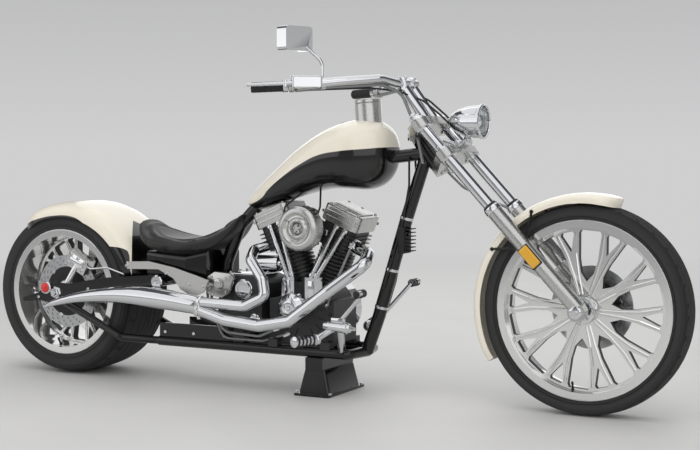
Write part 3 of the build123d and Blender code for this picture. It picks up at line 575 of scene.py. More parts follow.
class CHOPPER_OT_stage(bpy.types.Operator):
    """Pale floor, soft studio light and the camera"""
    bl_idname = "chopper.stage"
    bl_label = "Stage"

    def execute(self, context):
        scene = context.scene
        bm = bmesh.new()
        bmesh.ops.create_grid(bm, x_segments=2, y_segments=2, size=FLOOR_HALF)
        mesh = bpy.data.meshes.new("studio_floor")
        bm.to_mesh(mesh)
        bm.free()
        floor = bpy.data.objects.new("studio_floor", mesh)
        scene.collection.objects.link(floor)
        mesh.materials.append(bpy.data.materials["floor_paint"])
        # far from the machine the floor fades into an evenly lit pale sweep
        tree = bpy.data.materials["floor_paint"].node_tree
        shader = tree.nodes["Principled BSDF"]
        place = tree.nodes["Texture Coordinate"].outputs["Object"]
        away = add_node(tree, "VectorMath", {"operation": "LENGTH"}, {0: place})
        far = add_node(tree, "MapRange", {"From Min": FADE_FROM, "From Max": FADE_TO,
                                          "interpolation_type": "SMOOTHSTEP"},
                       {"Value": away.outputs["Value"]})
        way = add_node(tree, "VectorMath", {"operation": "NORMALIZE"}, {0: place})
        axes = add_node(tree, "SeparateXYZ", links={0: way.outputs["Vector"]})
        wall, shown = studio_walls(tree, axes.outputs["Y"])
        amount = add_node(tree, "Math", {"operation": "MULTIPLY"}, {0: far.outputs[0], 1: shown})
        sweep = add_node(tree, "Emission", links={"Color": wall})
        both = add_node(tree, "MixShader", links={0: amount.outputs[0], 1: shader.outputs[0],
                                                  2: sweep.outputs[0]})
        tree.links.new(both.outputs[0], tree.nodes["Material Output"].inputs["Surface"])

        # mirrors see the walls, which pass into a dim ceiling; matt surfaces get an even wash
        scene.world = bpy.data.worlds.new("studio")
        scene.world.use_nodes = True
        tree = scene.world.node_tree
        tree.nodes.clear()
        axes = add_node(tree, "SeparateXYZ",
                        links={0: add_node(tree, "TexCoord").outputs["Generated"]})
        height = add_node(tree, "MapRange", {"From Min": 0.0, "From Max": 0.5},
                          {"Value": axes.outputs["Z"]})
        wall, shown = studio_walls(tree, axes.outputs["Y"])
        walls = add_node(tree, "Mix", {"data_type": "RGBA", 7: (*linear("#57585D"), 1)},
                         {0: height.outputs[0], 6: wall})
        seen = add_node(tree, "Background", {"Strength": 1.0}, {"Color": walls.outputs[2]})
        wash = add_node(tree, "Background", {"Color": (*linear("#E9EAEC"), 1), "Strength": 0.48})
        mix = add_node(tree, "MixShader", links={0: shown, 1: wash.outputs[0], 2: seen.outputs[0]})
        add_node(tree, "OutputWorld", links={0: mix.outputs[0]})

        for name, spot, size, power in LAMPS:
            lamp = bpy.data.lights.new(name, "AREA")
            lamp.shape, lamp.size, lamp.energy = "SQUARE", size, power
            aim_from(scene, name, lamp, spot, LIT_AT - Vector(spot))
        camera = bpy.data.cameras.new("camera")
        camera.lens, camera.sensor_width, camera.clip_end = 72.2, 36.0, 200.0
        flat = cos(CAMERA_DOWN)
        scene.camera = aim_from(scene, "camera", camera, CAMERA_AT, Vector(
            (-sin(CAMERA_TURN) * flat, cos(CAMERA_TURN) * flat, -sin(CAMERA_DOWN))))
        scene.view_settings.view_transform = "Standard"
        return {"FINISHED"}


class CHOPPER_OT_finishes(bpy.types.Operator):
    """Make every material and put one on each piece of the frame"""
    bl_idname = "chopper.finishes"
    bl_label = "Finishes"

    def execute(self, context):
        for name, _, *looks in FINISHES:
            made = make_finish(name, *looks)
            if name == "saddle_leather":
                grain_leather(*made)
        shown = [*NODE_FINISHES.items(), *((finish, nodes) for _, finish, nodes in CASTINGS)]
        for finish, nodes in shown:
            for node in nodes:
                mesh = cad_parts[node].data
                mesh.materials.clear()
                mesh.materials.append(bpy.data.materials[finish])
        return {"FINISHED"}


# name, centre, bead radius, outer radius, half width, rim half width, grooves as
# (from, to) shares of the half width, steps round, body
TYRES = (
    ("front", FRONT_AXLE, 298, 364, 65, 56, ((0.10, 0.17), (0.40, 0.47)), 168, "front_wheel"),
    ("rear", REAR_AXLE, 240, 333, 150, 143, ((0.07, 0.10), (0.28, 0.315), (0.52, 0.55)), 150,
     "rear_wheel"),
)
# share of the half width, share of the height from bead to crown
TYRE_SIDE = ((0.80, 0.06), (0.92, 0.22), (0.98, 0.38), (1.0, 0.52), (0.99, 0.64), (0.955, 0.75),
             (0.89, 0.835), (0.79, 0.895), (0.64, 0.943), (0.45, 0.975), (0.25, 0.995),
             (0.0, 1.0))
GROOVE_LEAN = 0.012     # of the half width, from a groove's lip to its floor


def crown_height(share):
    """Height of a tyre's outline at a share of its half width."""
    for (s_a, h_a), (s_b, h_b) in zip(TYRE_SIDE, TYRE_SIDE[1:]):
        if s_b <= share <= s_a:
            return h_a + (h_b - h_a) * (s_a - share) / (s_a - s_b)
    return 1.0


class CHOPPER_OT_tyres(bpy.types.Operator):
    """Tyres with grooved and siped treads"""
    bl_idname = "chopper.tyres"
    bl_label = "Tyres"

    def execute(self, context):
        depth = context.scene.chopper_sizes.tread_depth * 1000
        for name, centre, bead, outer, half, rim_half, grooves, steps, body in TYRES:
            height = outer - bead
            flank = [(share * half, bead + h * height) for share, h in TYRE_SIDE
                     if not any(low * half <= share * half <= high * half
                                for low, high in grooves)]
            for low, high in grooves:
                for at, lip, drop in ((high, high, 0), (high - GROOVE_LEAN, high, depth),
                                      (low + GROOVE_LEAN, low, depth), (low, low, 0)):
                    flank.append((at * half, bead + crown_height(lip) * height - drop))
            flank.sort(key=lambda point: -point[0])
            seat = rim_half - 6.5
            right = [(seat, bead + 0.5), (seat, bead + 0.03 * height)]
            right += [point for point in flank if point[0] > 0]
            profile = right + [(0.0, outer)] + [(-y, r) for y, r in reversed(right)]
            profile.append(profile[0])
            twist = [radians(10) * max(0.0, abs(y) / half - 0.5) for y, r in profile]
            bm = bmesh.new()
            turn(bm, profile, centre, ACROSS, steps, begin=AHEAD, lean=twist)
            tidy_mesh(bm)
            blocks = []
            for face in bm.faces:
                middle = face.calc_center_median() - centre
                index = int(heading(middle) / 360 * steps)
                if (0.56 < abs(middle.y) / half < 0.93
                        and middle.xz.length > bead + 0.8 * height
                        and index % 5 == (0 if middle.y > 0 else 2)):
                    blocks.append(face)
            bmesh.ops.inset_individual(bm, faces=blocks, thickness=1.6, depth=-depth * 0.8)
            # raised rings where the mould's halves and the rim protector meet the sidewall
            for share in (0.30, 0.62):
                radius = bead + share * height
                reach = [s * half for s, h in TYRE_SIDE if h <= share + 0.14][-1]
                for way in (-reach, reach):
                    turn(bm, [(way * 0.955, radius - 1.5), (way, radius - 0.6),
                              (way, radius + 0.6), (way * 0.955, radius + 1.5)],
                         centre, ACROSS, 96)
            make_piece(name + "_tyre_treaded", bm, "tyre_rubber", body,
                       stands_for=name + "_tyre", crease=40)
        return {"FINISHED"}


# wheel, centre, y of the hub's right face, its radius, lip radius, rim half width, y where
# the hub cap starts, body, radius of the windows' circle, y of the spokes' two faces
WHEELS = (
    ("front", FRONT_AXLE, -62, 46, 310, 56, 26, "front_wheel", 272, (-34, -8)),
    ("rear", REAR_AXLE, -118, 46, 252, 143, 60, "rear_wheel", 214, (-20, 14)),
)
SPOKES, FIRST_SPOKE = 10, -4.0
# radius and distance from the spoke's middle, as shares of the windows' circle
RIB = ((0.2, 0.02), (0.47, 0.032), (0.72, 0.058), (0.97, 0.125))


class CHOPPER_OT_wheels(bpy.types.Operator):
    """Cast wheels with rounded spokes, hub caps, bolts and valves"""
    bl_idname = "chopper.wheels"
    bl_label = "Wheels"

    def execute(self, context):
        for name, centre, face_y, hub, lip, half, start, body, circle, faces in WHEELS:
            rim = softened(name + "_rim", "polished_aluminium", body, 3.5)
            # the windows' walls get painted shade, a dark grey finish, and the faces stay polished
            rim.data.materials.append(bpy.data.materials["pocket_enamel"])
            for face in rim.data.polygons:
                out = (Vector(face.center) * 1000 - centre).xz.length
                if abs(face.normal.y) < 0.3 and hub + 30 < out < lip - 29:
                    face.material_index = 1
            bm = bmesh.new()
            for way in (-1, 1):
                # rolled bead on the rim's lip, then the stepped hub cap
                turn(bm, [(way * (half + y), lip + out) for y, out in (
                    (-5.5, -1.5), (-5, 0.2), (-1, 0.2), (0.2, -2.5), (-1, -5))],
                    centre, ACROSS, 120)
                turn(bm, [(way * y, out) for y, out in (
                    (start, hub + 1), (-face_y - 6, hub + 1), (-face_y - 1, hub - 2),
                    (-face_y + 0.5, hub - 8), (-face_y + 0.5, 14))], centre, ACROSS, 60)
            bolt_ring(bm, centre, face_y + 1, 31, 5, 5.5, RIGHT, 18, 5)
            make_piece(name + "_hub_cap", bm, "chrome_plate", body)
            bm = bmesh.new()
            for index in range(SPOKES):
                # a pair of rounded ribs forks out along each spoke, on both of its faces
                angle = radians(FIRST_SPOKE + index * 360 / SPOKES)
                ahead = Vector((cos(angle), 0, sin(angle)))
                aside = Vector((-sin(angle), 0, cos(angle)))
                for y in faces:
                    for side in (-circle, circle):
                        pipe(bm, [centre + ahead * (r * circle) + aside * (side * w)
                                  + ACROSS * y for r, w in RIB], 4.6, 60, 10, 3)
            make_piece(name + "_spoke_ribs", bm, "polished_aluminium", body)
            bm = bmesh.new()
            foot = polar(centre, lip - 30, 262, 26 - half)
            turn(bm, [(0, 0), (0, 6.5), (5, 6.5), (7, 4), (24, 3.4), (24, 4.4), (36, 4.4),
                      (38, 3), (38, 0)], foot, polar(centre, lip - 62, 262, 2 - half) - foot, 14)
            make_piece(name + "_valve", bm, "moulded_rubber", body)
        return {"FINISHED"}


# disc, centre, y of its two faces, side that its bolts stand on, body
DISCS = (("front", FRONT_AXLE, 50.0, 56.0, 1, "front_wheel"),
         ("rear", REAR_AXLE, -112.0, -106.0, -1, "rear_wheel"))
# rings of holes by radius, each drilled in every third step of the disc
DRILLED = ((106, 113), (119, 126), (132, 139))


class CHOPPER_OT_discs(bpy.types.Operator):
    """Drilled brake discs on bolted carriers"""
    bl_idname = "chopper.discs"
    bl_label = "Discs"

    def execute(self, context):
        steps = context.scene.chopper_sizes.disc_holes * 3
        for name, centre, low, high, side, body in DISCS:
            rows = (100, *(r for ring in DRILLED for r in ring), 146)
            profile = [(low, r) for r in rows] + [(high, r) for r in reversed(rows)]
            bm = bmesh.new()
            turn(bm, profile + [profile[0]], centre, ACROSS, steps, begin=AHEAD)
            tidy_mesh(bm)
            drilled = []
            for face in bm.faces:
                middle = face.calc_center_median() - centre
                inner, outer = DRILLED[int(heading(middle) / 360 * steps) % 3]
                if abs(face.normal.y) >= 0.9 and inner < middle.xz.length < outer:
                    drilled.append(face)
            bmesh.ops.inset_individual(bm, faces=drilled, thickness=0.9, depth=-2.7)
            make_piece(name + "_disc_drilled", bm, name + "_disc_steel", body,
                       stands_for=name + "_disc")
            bm = bmesh.new()
            mid = (low + high) / 2
            turn(bm, [(mid - 2.5, 45.4), (mid - 2.5, 101), (mid + 2.5, 101), (mid + 2.5, 45.4),
                      (mid - 2.5, 45.4)], centre, ACROSS, 60)
            make_piece(name + "_disc_carrier", bm, "moulded_nylon", body)
            bm = bmesh.new()
            for index in range(6):
                turn(bm, barrel(-5, 5, 8, 1), polar(centre, 101, index * 60 + 12, mid), ACROSS, 16)
            bolt_ring(bm, centre, mid + side * 2, 62, 5, 5.5, ACROSS * side, 8, 5.5)
            make_piece(name + "_disc_bobbins", bm, "chrome_plate", body)
        return {"FINISHED"}


def fender_section(half, skirt, crown, thick):
    """Closed (y, radius) section of a fender: rounded crown, straight sides, rolled edge."""
    outer = [(half * share, crown - drop * half / 166 * 1.5) for share, drop in (
        (0, 0), (0.38, 1), (0.62, 3.2), (0.79, 7), (0.91, 13), (0.975, 21), (1.0, 31))]
    inner = [(y - thick * y / half, r - thick * (1 - 0.55 * y / half)) for y, r in outer]
    outer.append((half, skirt))
    inner.append((half - thick, skirt))
    return [(-y, r) for y, r in reversed(outer[1:])] + outer + inner[::-1] \
        + [(-y, r) for y, r in inner[1:]]


class CHOPPER_OT_fenders(bpy.types.Operator):
    """Rolled sheet-metal fenders with their stays"""
    bl_idname = "chopper.fenders"
    bl_label = "Fenders"

    def execute(self, context):
        bm = bmesh.new()
        arc_shell(bm, fender_section(78, 366, 400, 3.2), FRONT_AXLE, 210, -138, 70)
        for vert in bm.verts:
            # the front tip draws in to a rounded nose, the rear end to a soft square
            turned = heading(vert.co - FRONT_AXLE)
            nose, tail = max(0.0, (84 - turned) / 12), max(0.0, (turned - 203) / 7)
            vert.co.y *= (1 - nose ** 2.4) ** 0.5 if nose < 1 else 0.02
            vert.co.y *= 1 - 0.12 * tail ** 2
        make_piece("front_fender_rolled", bm, "cream_enamel", "fork", stands_for="front_fender")
        bm = bmesh.new()
        for angle in (118, 148):
            for way in (-1, 1):
                high = polar(FRONT_AXLE, 378, angle, way * 77)
                pipe(bm, [high, polar(FRONT_AXLE, 285, 133, way * 90)], 4.5, sides=10)
                socket_bolt(bm, high, ACROSS * way, 7, 4)
        make_piece("fender_stays", bm, "black_powder_coat", "fork")

        bm = bmesh.new()
        arc_shell(bm, fender_section(165.5, 318, 383, 3.2), REAR_FENDER_AT, 150, -138, 84)
        for vert in bm.verts:
            # the crown reaches further forward than the skirts
            front = max(0.0, (25 - heading(vert.co - REAR_FENDER_AT)) / 13)
            vert.co.y *= 1 - 0.18 * front ** 2
            # seen from above the tail closes in an ellipse round the tyre's back
            behind = min(1.0, max(0.0, (TAIL_X - vert.co.x) / TAIL_DEPTH))
            vert.co.y *= max(0.05, (1 - behind ** 2) ** 0.5)
            vert.co.x = max(vert.co.x, TAIL_X - TAIL_DEPTH)
        make_piece("rear_fender_rolled", bm, "two_tone_fender_enamel", stands_for="rear_fender")
        return {"FINISHED"}


# x, z low, z high, half width, squareness
TANK_HOOPS = ((-296, 696, 712, 10, 2.0), (-284, 686, 722, 24, 2.0), (-245, 670, 763, 46, 2.1),
              (-200, 686, 801, 68, 2.2), (-150, 702, 836, 88, 2.3), (-50, 735, 920, 119, 2.35),
              (60, 762, 985, 143, 2.4), (130, 764, 1010, 149, 2.4), (190, 760, 1022, 149, 2.4),
              (236, 758, 1021, 139, 2.35), (282, 778, 1008, 114, 2.3),
              (310, 812, 980, 86, 2.2), (323, 850, 950, 52, 2.0))
SEAT_HOOPS = ((-762, 604, 646, 60, 2.2), (-740, 566, 630, 104, 2.6), (-712, 538, 594, 130, 2.8),
              (-670, 520, 574, 143, 3.0), (-630, 512, 562, 147, 3.0), (-560, 508, 556, 147, 3.0),
              (-500, 507, 558, 142, 3.0), (-450, 516, 568, 128, 2.8), (-405, 534, 590, 110, 2.6),
              (-365, 562, 618, 94, 2.4), (-330, 596, 652, 80, 2.3), (-304, 636, 684, 62, 2.2))


def hooped_body(table):
    """Closed body through upright hoops."""
    bm = bmesh.new()
    skin_over(bm, [hoop(bm, (x, 0, (low + high) / 2), half, (high - low) / 2, power)
                   for x, low, high, half, power in table])
    return bm


def subdivide(piece, levels):
    """Subdivision surface with the same levels in view and render."""
    smooth = piece.modifiers.new("smooth curves", "SUBSURF")
    smooth.levels = smooth.render_levels = levels


class CHOPPER_OT_tank(bpy.types.Operator):
    """Smooth teardrop tank in two colours"""
    bl_idname = "chopper.tank"
    bl_label = "Tank"

    def execute(self, context):
        subdivide(make_piece("fuel_tank_shell", hooped_body(TANK_HOOPS), "two_tone_tank_enamel",
                             stands_for="fuel_tank", crease=180), 2)
        return {"FINISHED"}


def settled(context, piece):
    """Mesh of a piece with its modifiers applied, which are then cleared."""
    context.view_layer.update()
    piece.data = bpy.data.meshes.new_from_object(
        piece.evaluated_get(context.evaluated_depsgraph_get()))
    piece.modifiers.clear()
    return piece.data


class CHOPPER_OT_seat(bpy.types.Operator):
    """Padded leather saddle, swelled by a cloth simulation"""
    bl_idname = "chopper.seat"
    bl_label = "Seat"

    def execute(self, context):
        bm = hooped_body(SEAT_HOOPS)
        for vert in bm.verts:
            # the middle of the top is dished between two raised edges
            across = vert.co.y / 140
            middle = 1 - min(1.0, abs(vert.co.x + 560) / 230)
            vert.co.z -= 9 * max(0.0, 1 - across * across * 1.3) * middle
        seat = make_piece("saddle", bm, "saddle_leather", stands_for="seat_pad", crease=180)
        subdivide(seat, 2)
        remesh = seat.modifiers.new("even", "REMESH")
        remesh.mode, remesh.voxel_size = "VOXEL", 0.006
        mesh = settled(context, seat)
        rest = [vert.co.copy() for vert in mesh.vertices]
        most = context.scene.chopper_sizes.seat_swell
        cloth = seat.modifiers.new("swell", "CLOTH")
        cloth.settings.use_pressure = True
        cloth.settings.uniform_pressure_force = 4.0
        cloth.settings.tension_stiffness = cloth.settings.compression_stiffness = 20
        cloth.settings.effector_weights.gravity = 0
        cloth.point_cache.frame_start, cloth.point_cache.frame_end = 1, 20
        for step in range(1, 21):
            context.scene.frame_set(step)
        mesh = settled(context, seat)
        for vert, start in zip(mesh.vertices, rest):
            move = vert.co - start
            if move.length > most:
                vert.co = start + move.normalized() * most
        context.scene.frame_set(1)
        bm = bmesh.new()
        bm.from_mesh(mesh)
        bmesh.ops.smooth_vert(bm, verts=bm.verts, factor=0.5, use_axis_x=True,
                              use_axis_y=True, use_axis_z=True)
        bm.normal_update()
        for vert in bm.verts:
            # sewn channel round the seating area
            if vert.normal.z > 0.2:
                spot = vert.co * 1000
                rim = (((spot.x + 545) / 168) ** 2 + (spot.y / 104) ** 2) ** 0.5
                vert.co.z -= 0.0045 * max(0.0, 1 - (abs(rim - 1) * 110 / 9) ** 2)
        bm.to_mesh(mesh)
        bm.free()
        mesh.polygons.foreach_set("use_smooth", [True] * len(mesh.polygons))
        subdivide(seat, 1)
        return {"FINISHED"}


# x, z, radius of the muffler's axis
MUFFLER_HOOPS = ((-372, 324, 32), (-384, 325.5, 34.5), (-440, 332, 36.5), (-500, 338, 38),
                 (-560, 342.5, 39.2), (-620, 345.5, 39.2), (-680, 347, 36.6), (-740, 346.5, 33),
                 (-800, 343, 29.2), (-860, 337.5, 25.6), (-910, 331, 22.6), (-960, 322.5, 19.6),
                 (-1010, 311.5, 16.6), (-1060, 298.5, 13), (-1094, 287.5, 8.6),
                 (-1107, 283, 5.5))
# point, direction, pipe radius
CLAMPS = (((-372, -237, 309), (-1, -0.05, 0.3), 24.5),
          ((-366, -237, 337), (-1, -0.05, 0.03), 21.5),
          ((182, -40, 554), (0.5, -0.85, -0.2), 24.5),
          ((-158, -40, 554), (-0.5, -0.9, -0.25), 21.5))


class CHOPPER_OT_exhaust(bpy.types.Operator):
    """Swept muffler with its collector and clamps"""
    bl_idname = "chopper.exhaust"
    bl_label = "Exhaust"

    def execute(self, context):
        bm = bmesh.new()
        skin_over(bm, [hoop(bm, (x, -238, z), radius, radius, 2.0, 32)
                       for x, z, radius in MUFFLER_HOOPS])
        make_piece("muffler_shell", bm, "chrome_plate", stands_for="muffler", crease=60)
        bm = bmesh.new()
        for spot, way, radius in CLAMPS:
            turn(bm, [(-8, radius - 1), (-8, radius + 1.6), (-6, radius + 2.4),
                      (6, radius + 2.4), (8, radius + 1.6), (8, radius - 1)], spot, way, 32)
            brick(bm, Vector(spot) - UP * (radius + 6), (14, 9, 12), 2)
            socket_bolt(bm, Vector(spot) + Vector((0, -4, -radius - 6)), RIGHT, 4.5, 5)
        make_piece("exhaust_clamps", bm, "polished_aluminium")
        return {"FINISHED"}


class CHOPPER_OT_castings(bpy.types.Operator):
    """Round the edges of the cast and forged pieces"""
    bl_idname = "chopper.castings"
    bl_label = "Castings"

    def execute(self, context):
        for body, finish, nodes in CASTINGS:
            for node, width in nodes.items():
                # the sliders go with the polished pieces, though their finish is satin
                softened(node, finish, body, width)
        return {"FINISHED"}


HEAD_LOW, HEAD_TOP, COVER_TOP = 268, 356, 418      # along each cylinder, from the crank
PUSHRODS = ((-58, -156), (-38, -118), (40, 132), (60, 168))   # x of foot and head
LIFTER_TOP = 438


class CHOPPER_OT_engine(bpy.types.Operator):
    """Bolts, ribs, plugs, pushrod collars and side covers of the V engine"""
    bl_idname = "chopper.engine"
    bl_label = "Engine details"

    def execute(self, context):
        covers, fins, plugs, leads = (bmesh.new() for _ in range(4))
        for way in (-1, 1):
            lean = radians(way * VEE_HALF)
            up = Vector((sin(lean), 0, cos(lean)))
            spin = Matrix.Rotation(lean, 3, "Y")

            def at(along, across, y):
                return CRANK + up * along + spin @ Vector((across, y, 0))

            for y in (-1, 1):
                # ribbed cover with its bolts and the joint above the lower box
                for across in (-60, 0, 60):
                    socket_bolt(covers, at(COVER_TOP, across, y * 70), up, 5.5, 5)
                for along in (378, 398):
                    brick(covers, at(along, 0, y * 88), (128, 3, 7), 1.4, spin)
                for across in (72, -72):
                    socket_bolt(covers, at(388, across, y * 87), ACROSS * y, 6, 5)
            brick(covers, at(COVER_TOP + 2, 0, 0), (120, 104, 6), 2.5, spin)
            for index in range(5):
                # the head's fins stand a little proud of its sides
                brick(fins, at(HEAD_LOW + 10 + index * 15, 0, 0), (150, 160, 3.2), 1, spin)
            # plug with its boot, and the lead up to the coil below the tank
            seat = at(312, -way * 36, -75)
            out = Vector((-way * 0.25, -1, 0.12)).normalized()
            turn(plugs, [(0, 0), (0, 13), (5, 13), (6, 9), (12, 9), (12, 6), (20, 6), (22, 4),
                         (22, 0)], seat, out, 6)
            turn(leads, [(14, 0), (14, 8.5), (18, 9.5), (40, 9.5), (46, 7), (52, 5), (52, 0)],
                 seat, out, 20)
            end = seat + out * 50
            pipe(leads, [end, end + Vector((way * -6, -16, 26)), end + Vector((0, 20, 90)),
                         Vector((20 + way * 16, -30, 780))], 3.6, 26, 10, 8)
        make_piece("rocker_details", covers, "satin_aluminium")
        make_piece("head_fins", fins, "black_wrinkle_coat")
        make_piece("spark_plugs", plugs, "chrome_plate")
        make_piece("plug_leads", leads, "moulded_rubber")

        bm = bmesh.new()
        for foot_x, head_x in PUSHRODS:
            lean = radians(VEE_HALF if foot_x > 0 else -VEE_HALF)
            head_z = CRANK.z + (HEAD_TOP - (head_x - CRANK.x) * sin(lean)) / cos(lean)
            foot = Vector((foot_x, -116, LIFTER_TOP))
            head = Vector((head_x, -80, head_z))
            way = (head - foot).normalized()
            tall = (head - foot).length
            for along, radius, wide in ((3, 12, 12), (22, 10, 3), (tall * 0.45, 10, 4),
                                        (tall - 30, 10, 3), (tall - 12, 12, 12)):
                turn(bm, barrel(along, along + wide, radius, 1, 7.6), foot, way, 20)
        for low in (-76, 22):
            face_bolts(bm, [(low + x, z) for x in (8, 44) for z in (362, 428)], -130, RIGHT,
                       4.5, 5)
            brick(bm, (low + 26, -131, 395), (26, 3, 62), 1.2)
        make_piece("pushrod_collars", bm, "chrome_plate")

        bm = bmesh.new()
        cam = Vector((-26, 0, 325))
        bolt_ring(bm, cam, -152, 45, 5, 4.5, start=18)
        turn(bm, [(167, 33), (169, 31), (170.5, 27), (170.5, 18), (168.5, 16), (168.5, 9),
                  (171.5, 7), (171.5, 0)], cam, RIGHT, 48)
        # round covers on the gearbox's right face
        for x, z, radius, high in ((-259, 379, 34, 12), (-330, 404, 24, 8), (-212, 262, 22, 8)):
            turn(bm, [(98, 0), (98, radius + 3), (101, radius + 3), (103, radius),
                      (100 + high - 3, radius), (100 + high, radius - 3),
                      (100 + high, radius - 12), (100 + high - 3, radius - 14),
                      (100 + high - 3, 0)], Vector((x, 0, z)), RIGHT, 40)
        face_bolts(bm, ((-352, 240), (-352, 330), (-300, 240), (-196, 330), (-300, 418)), -100,
                   RIGHT, 5.5, 6)
        # square cover on its top
        brick(bm, (-275, -4, 433), (150, 150, 8), 3)
        for x in (-340, -210):
            for y in (-66, -4, 58):
                socket_bolt(bm, (x, y, 437), UP, 5, 5)
        # starter motor lying beside the gearbox
        turn(bm, [(0, 0), (0, 30), (4, 34), (96, 34), (100, 30), (112, 26), (112, 0)],
             (-286, 60, 470), AHEAD, 36)
        make_piece("engine_covers", bm, "chrome_plate")

        bm = bmesh.new()
        # bright side cover over the gearbox's linkage
        slab(bm, [(-416, 372), (-404, 424), (-372, 444), (-300, 440), (-286, 424), (-298, 398),
                  (-306, 362), (-340, 344), (-396, 350)], -132, -112, 7)
        face_bolts(bm, ((-396, 376), (-384, 424), (-318, 422), (-322, 366)), -131, RIGHT, 5, 5)
        turn(bm, [(128, 0), (128, 22), (134, 24), (140, 22), (143, 16), (143, 9), (140, 7),
                  (140, 0)], Vector((-352, 0, 396)), RIGHT, 36)
        make_piece("gearbox_side_cover", bm, "satin_aluminium")

        bm = bmesh.new()
        for angle in (-78, -52, -26, 0, 26, 52, 128, 154, 180, 206, 232, 258):
            socket_bolt(bm, polar(CRANK, 107, angle, -92), RIGHT, 5, 6)
        for angle in (-65, -40, -15, 15, 40, 140, 165, 195, 220, 245):
            low, high = polar(CRANK, 62, angle, -93), polar(CRANK, 112, angle, -93)
            brick(bm, (low + high) / 2, ((high - low).length, 5, 4), 1.5, facing(high - low))
        for x in (-120, 102):
            for y in (-108, 108):
                socket_bolt(bm, (x, y, 200), UP, 8, 8)
        turn(bm, [(92, 0), (92, 20), (96, 20), (99, 17), (106, 17), (108, 15), (108, 0)],
             (84, 0, 232), RIGHT, 6)
        make_piece("crankcase_bolts", bm, "black_wrinkle_coat")

        # braided oil lines between the tank, the case and the heads
        bm = bmesh.new()
        for route in ([(-430, -100, 400), (-400, -128, 330), (-330, -128, 215),
                       (-180, -124, 206), (-112, -100, 236)],
                      [(-430, -60, 392), (-396, -112, 300), (-340, -118, 190),
                       (-170, -112, 188), (-70, -98, 218)],
                      [(96, -90, 330), (120, -112, 380), (160, -104, 470), (186, -70, 560)]):
            pipe(bm, route, 5, 46, 12, 8)
        make_piece("oil_lines", bm, "braided_steel")
        bm = bmesh.new()
        for spot, way in (((-112, -100, 236), (1, 0.3, 0.4)), ((-70, -98, 218), (1, 0.2, 0.5)),
                          ((96, -90, 330), (0.3, -0.6, 0.7)), ((186, -70, 560), (0.3, 0.5, 0.9))):
            turn(bm, [(-16, 6), (-16, 8), (-4, 8), (-4, 9.5), (6, 9.5), (6, 7), (12, 7), (12, 0)],
                 spot, way, 6)
        make_piece("oil_line_unions", bm, "chrome_plate")
        return {"FINISHED"}


AIR_AT = Vector((44, 0, 624))


class CHOPPER_OT_intake(bpy.types.Operator):
    """Round air cleaner with its star, and the carburettor behind it"""
    bl_idname = "chopper.intake"
    bl_label = "Intake"

    def execute(self, context):
        bm = bmesh.new()
        turn(bm, [(168, 0), (168, 72), (171, 76), (178, 78), (180, 82), (214, 82), (222, 80.5),
                  (229, 76), (233.5, 69), (235.5, 62), (234, 57), (229, 53), (226, 47),
                  (227, 41), (231, 37), (234, 34), (235, 30), (233, 26), (226, 22), (222, 18),
                  (222, 0)], AIR_AT, RIGHT, 96)
        for index in range(30):
            # narrow slots' lands round the rim
            spot = polar(AIR_AT, 81.5, index * 12, -199)
            brick(bm, spot, (3, 26, 5), 1, Matrix.Rotation(-radians(index * 12), 3, "Y"))
        make_piece("air_cleaner_cover", bm, "satin_aluminium", stands_for="air_cleaner")
        bm = bmesh.new()
        for index in range(5):
            way = polar(Vector(), 1, 90 + index * 72)
            low = AIR_AT + Vector((0, -224, 0))
            pipe(bm, [low, low + way * 11 + Vector((0, -6, 0)), low + way * 17], 4.2, 4, 10, 4,
                 2.0)
        turn(bm, [(222, 9), (234, 8), (236, 5), (236, 0)], AIR_AT, RIGHT, 24)
        bolt_ring(bm, AIR_AT, -233, 49, 3, 4, start=30)
        make_piece("air_cleaner_star", bm, "satin_aluminium")
        bm = bmesh.new()
        brick(bm, (AIR_AT.x - 8, -118, AIR_AT.z - 6), (76, 62, 74), 10)
        turn(bm, [(60, 0), (60, 30), (88, 30), (90, 34), (96, 34), (98, 30), (146, 32),
                  (150, 40), (168, 44), (168, 0)], AIR_AT, RIGHT, 40)
        turn(bm, [(0, 0), (0, 30), (6, 34), (34, 34), (40, 26), (46, 12), (46, 0)],
             (AIR_AT.x - 8, -118, AIR_AT.z + 26), UP, 32)
        brick(bm, (AIR_AT.x - 8, -118, AIR_AT.z - 52), (58, 50, 30), 6)
        turn(bm, [(-76, 0), (-76, 24), (-56, 24), (-50, 20), (-14, 21), (14, 21), (50, 20),
                  (56, 24), (76, 24), (76, 0)], (CRANK.x, -20, CRANK.z + 311), AHEAD, 32)
        turn(bm, [(0, 0), (0, 24), (48, 22), (52, 27), (60, 27), (60, 0)],
             (CRANK.x + 14, -20, CRANK.z + 313), (0.26, -1, 0.12), 32)
        make_piece("carburettor", bm, "cast_aluminium")
        return {"FINISHED"}


BELT_TEETH = 70         # round the rear pulley


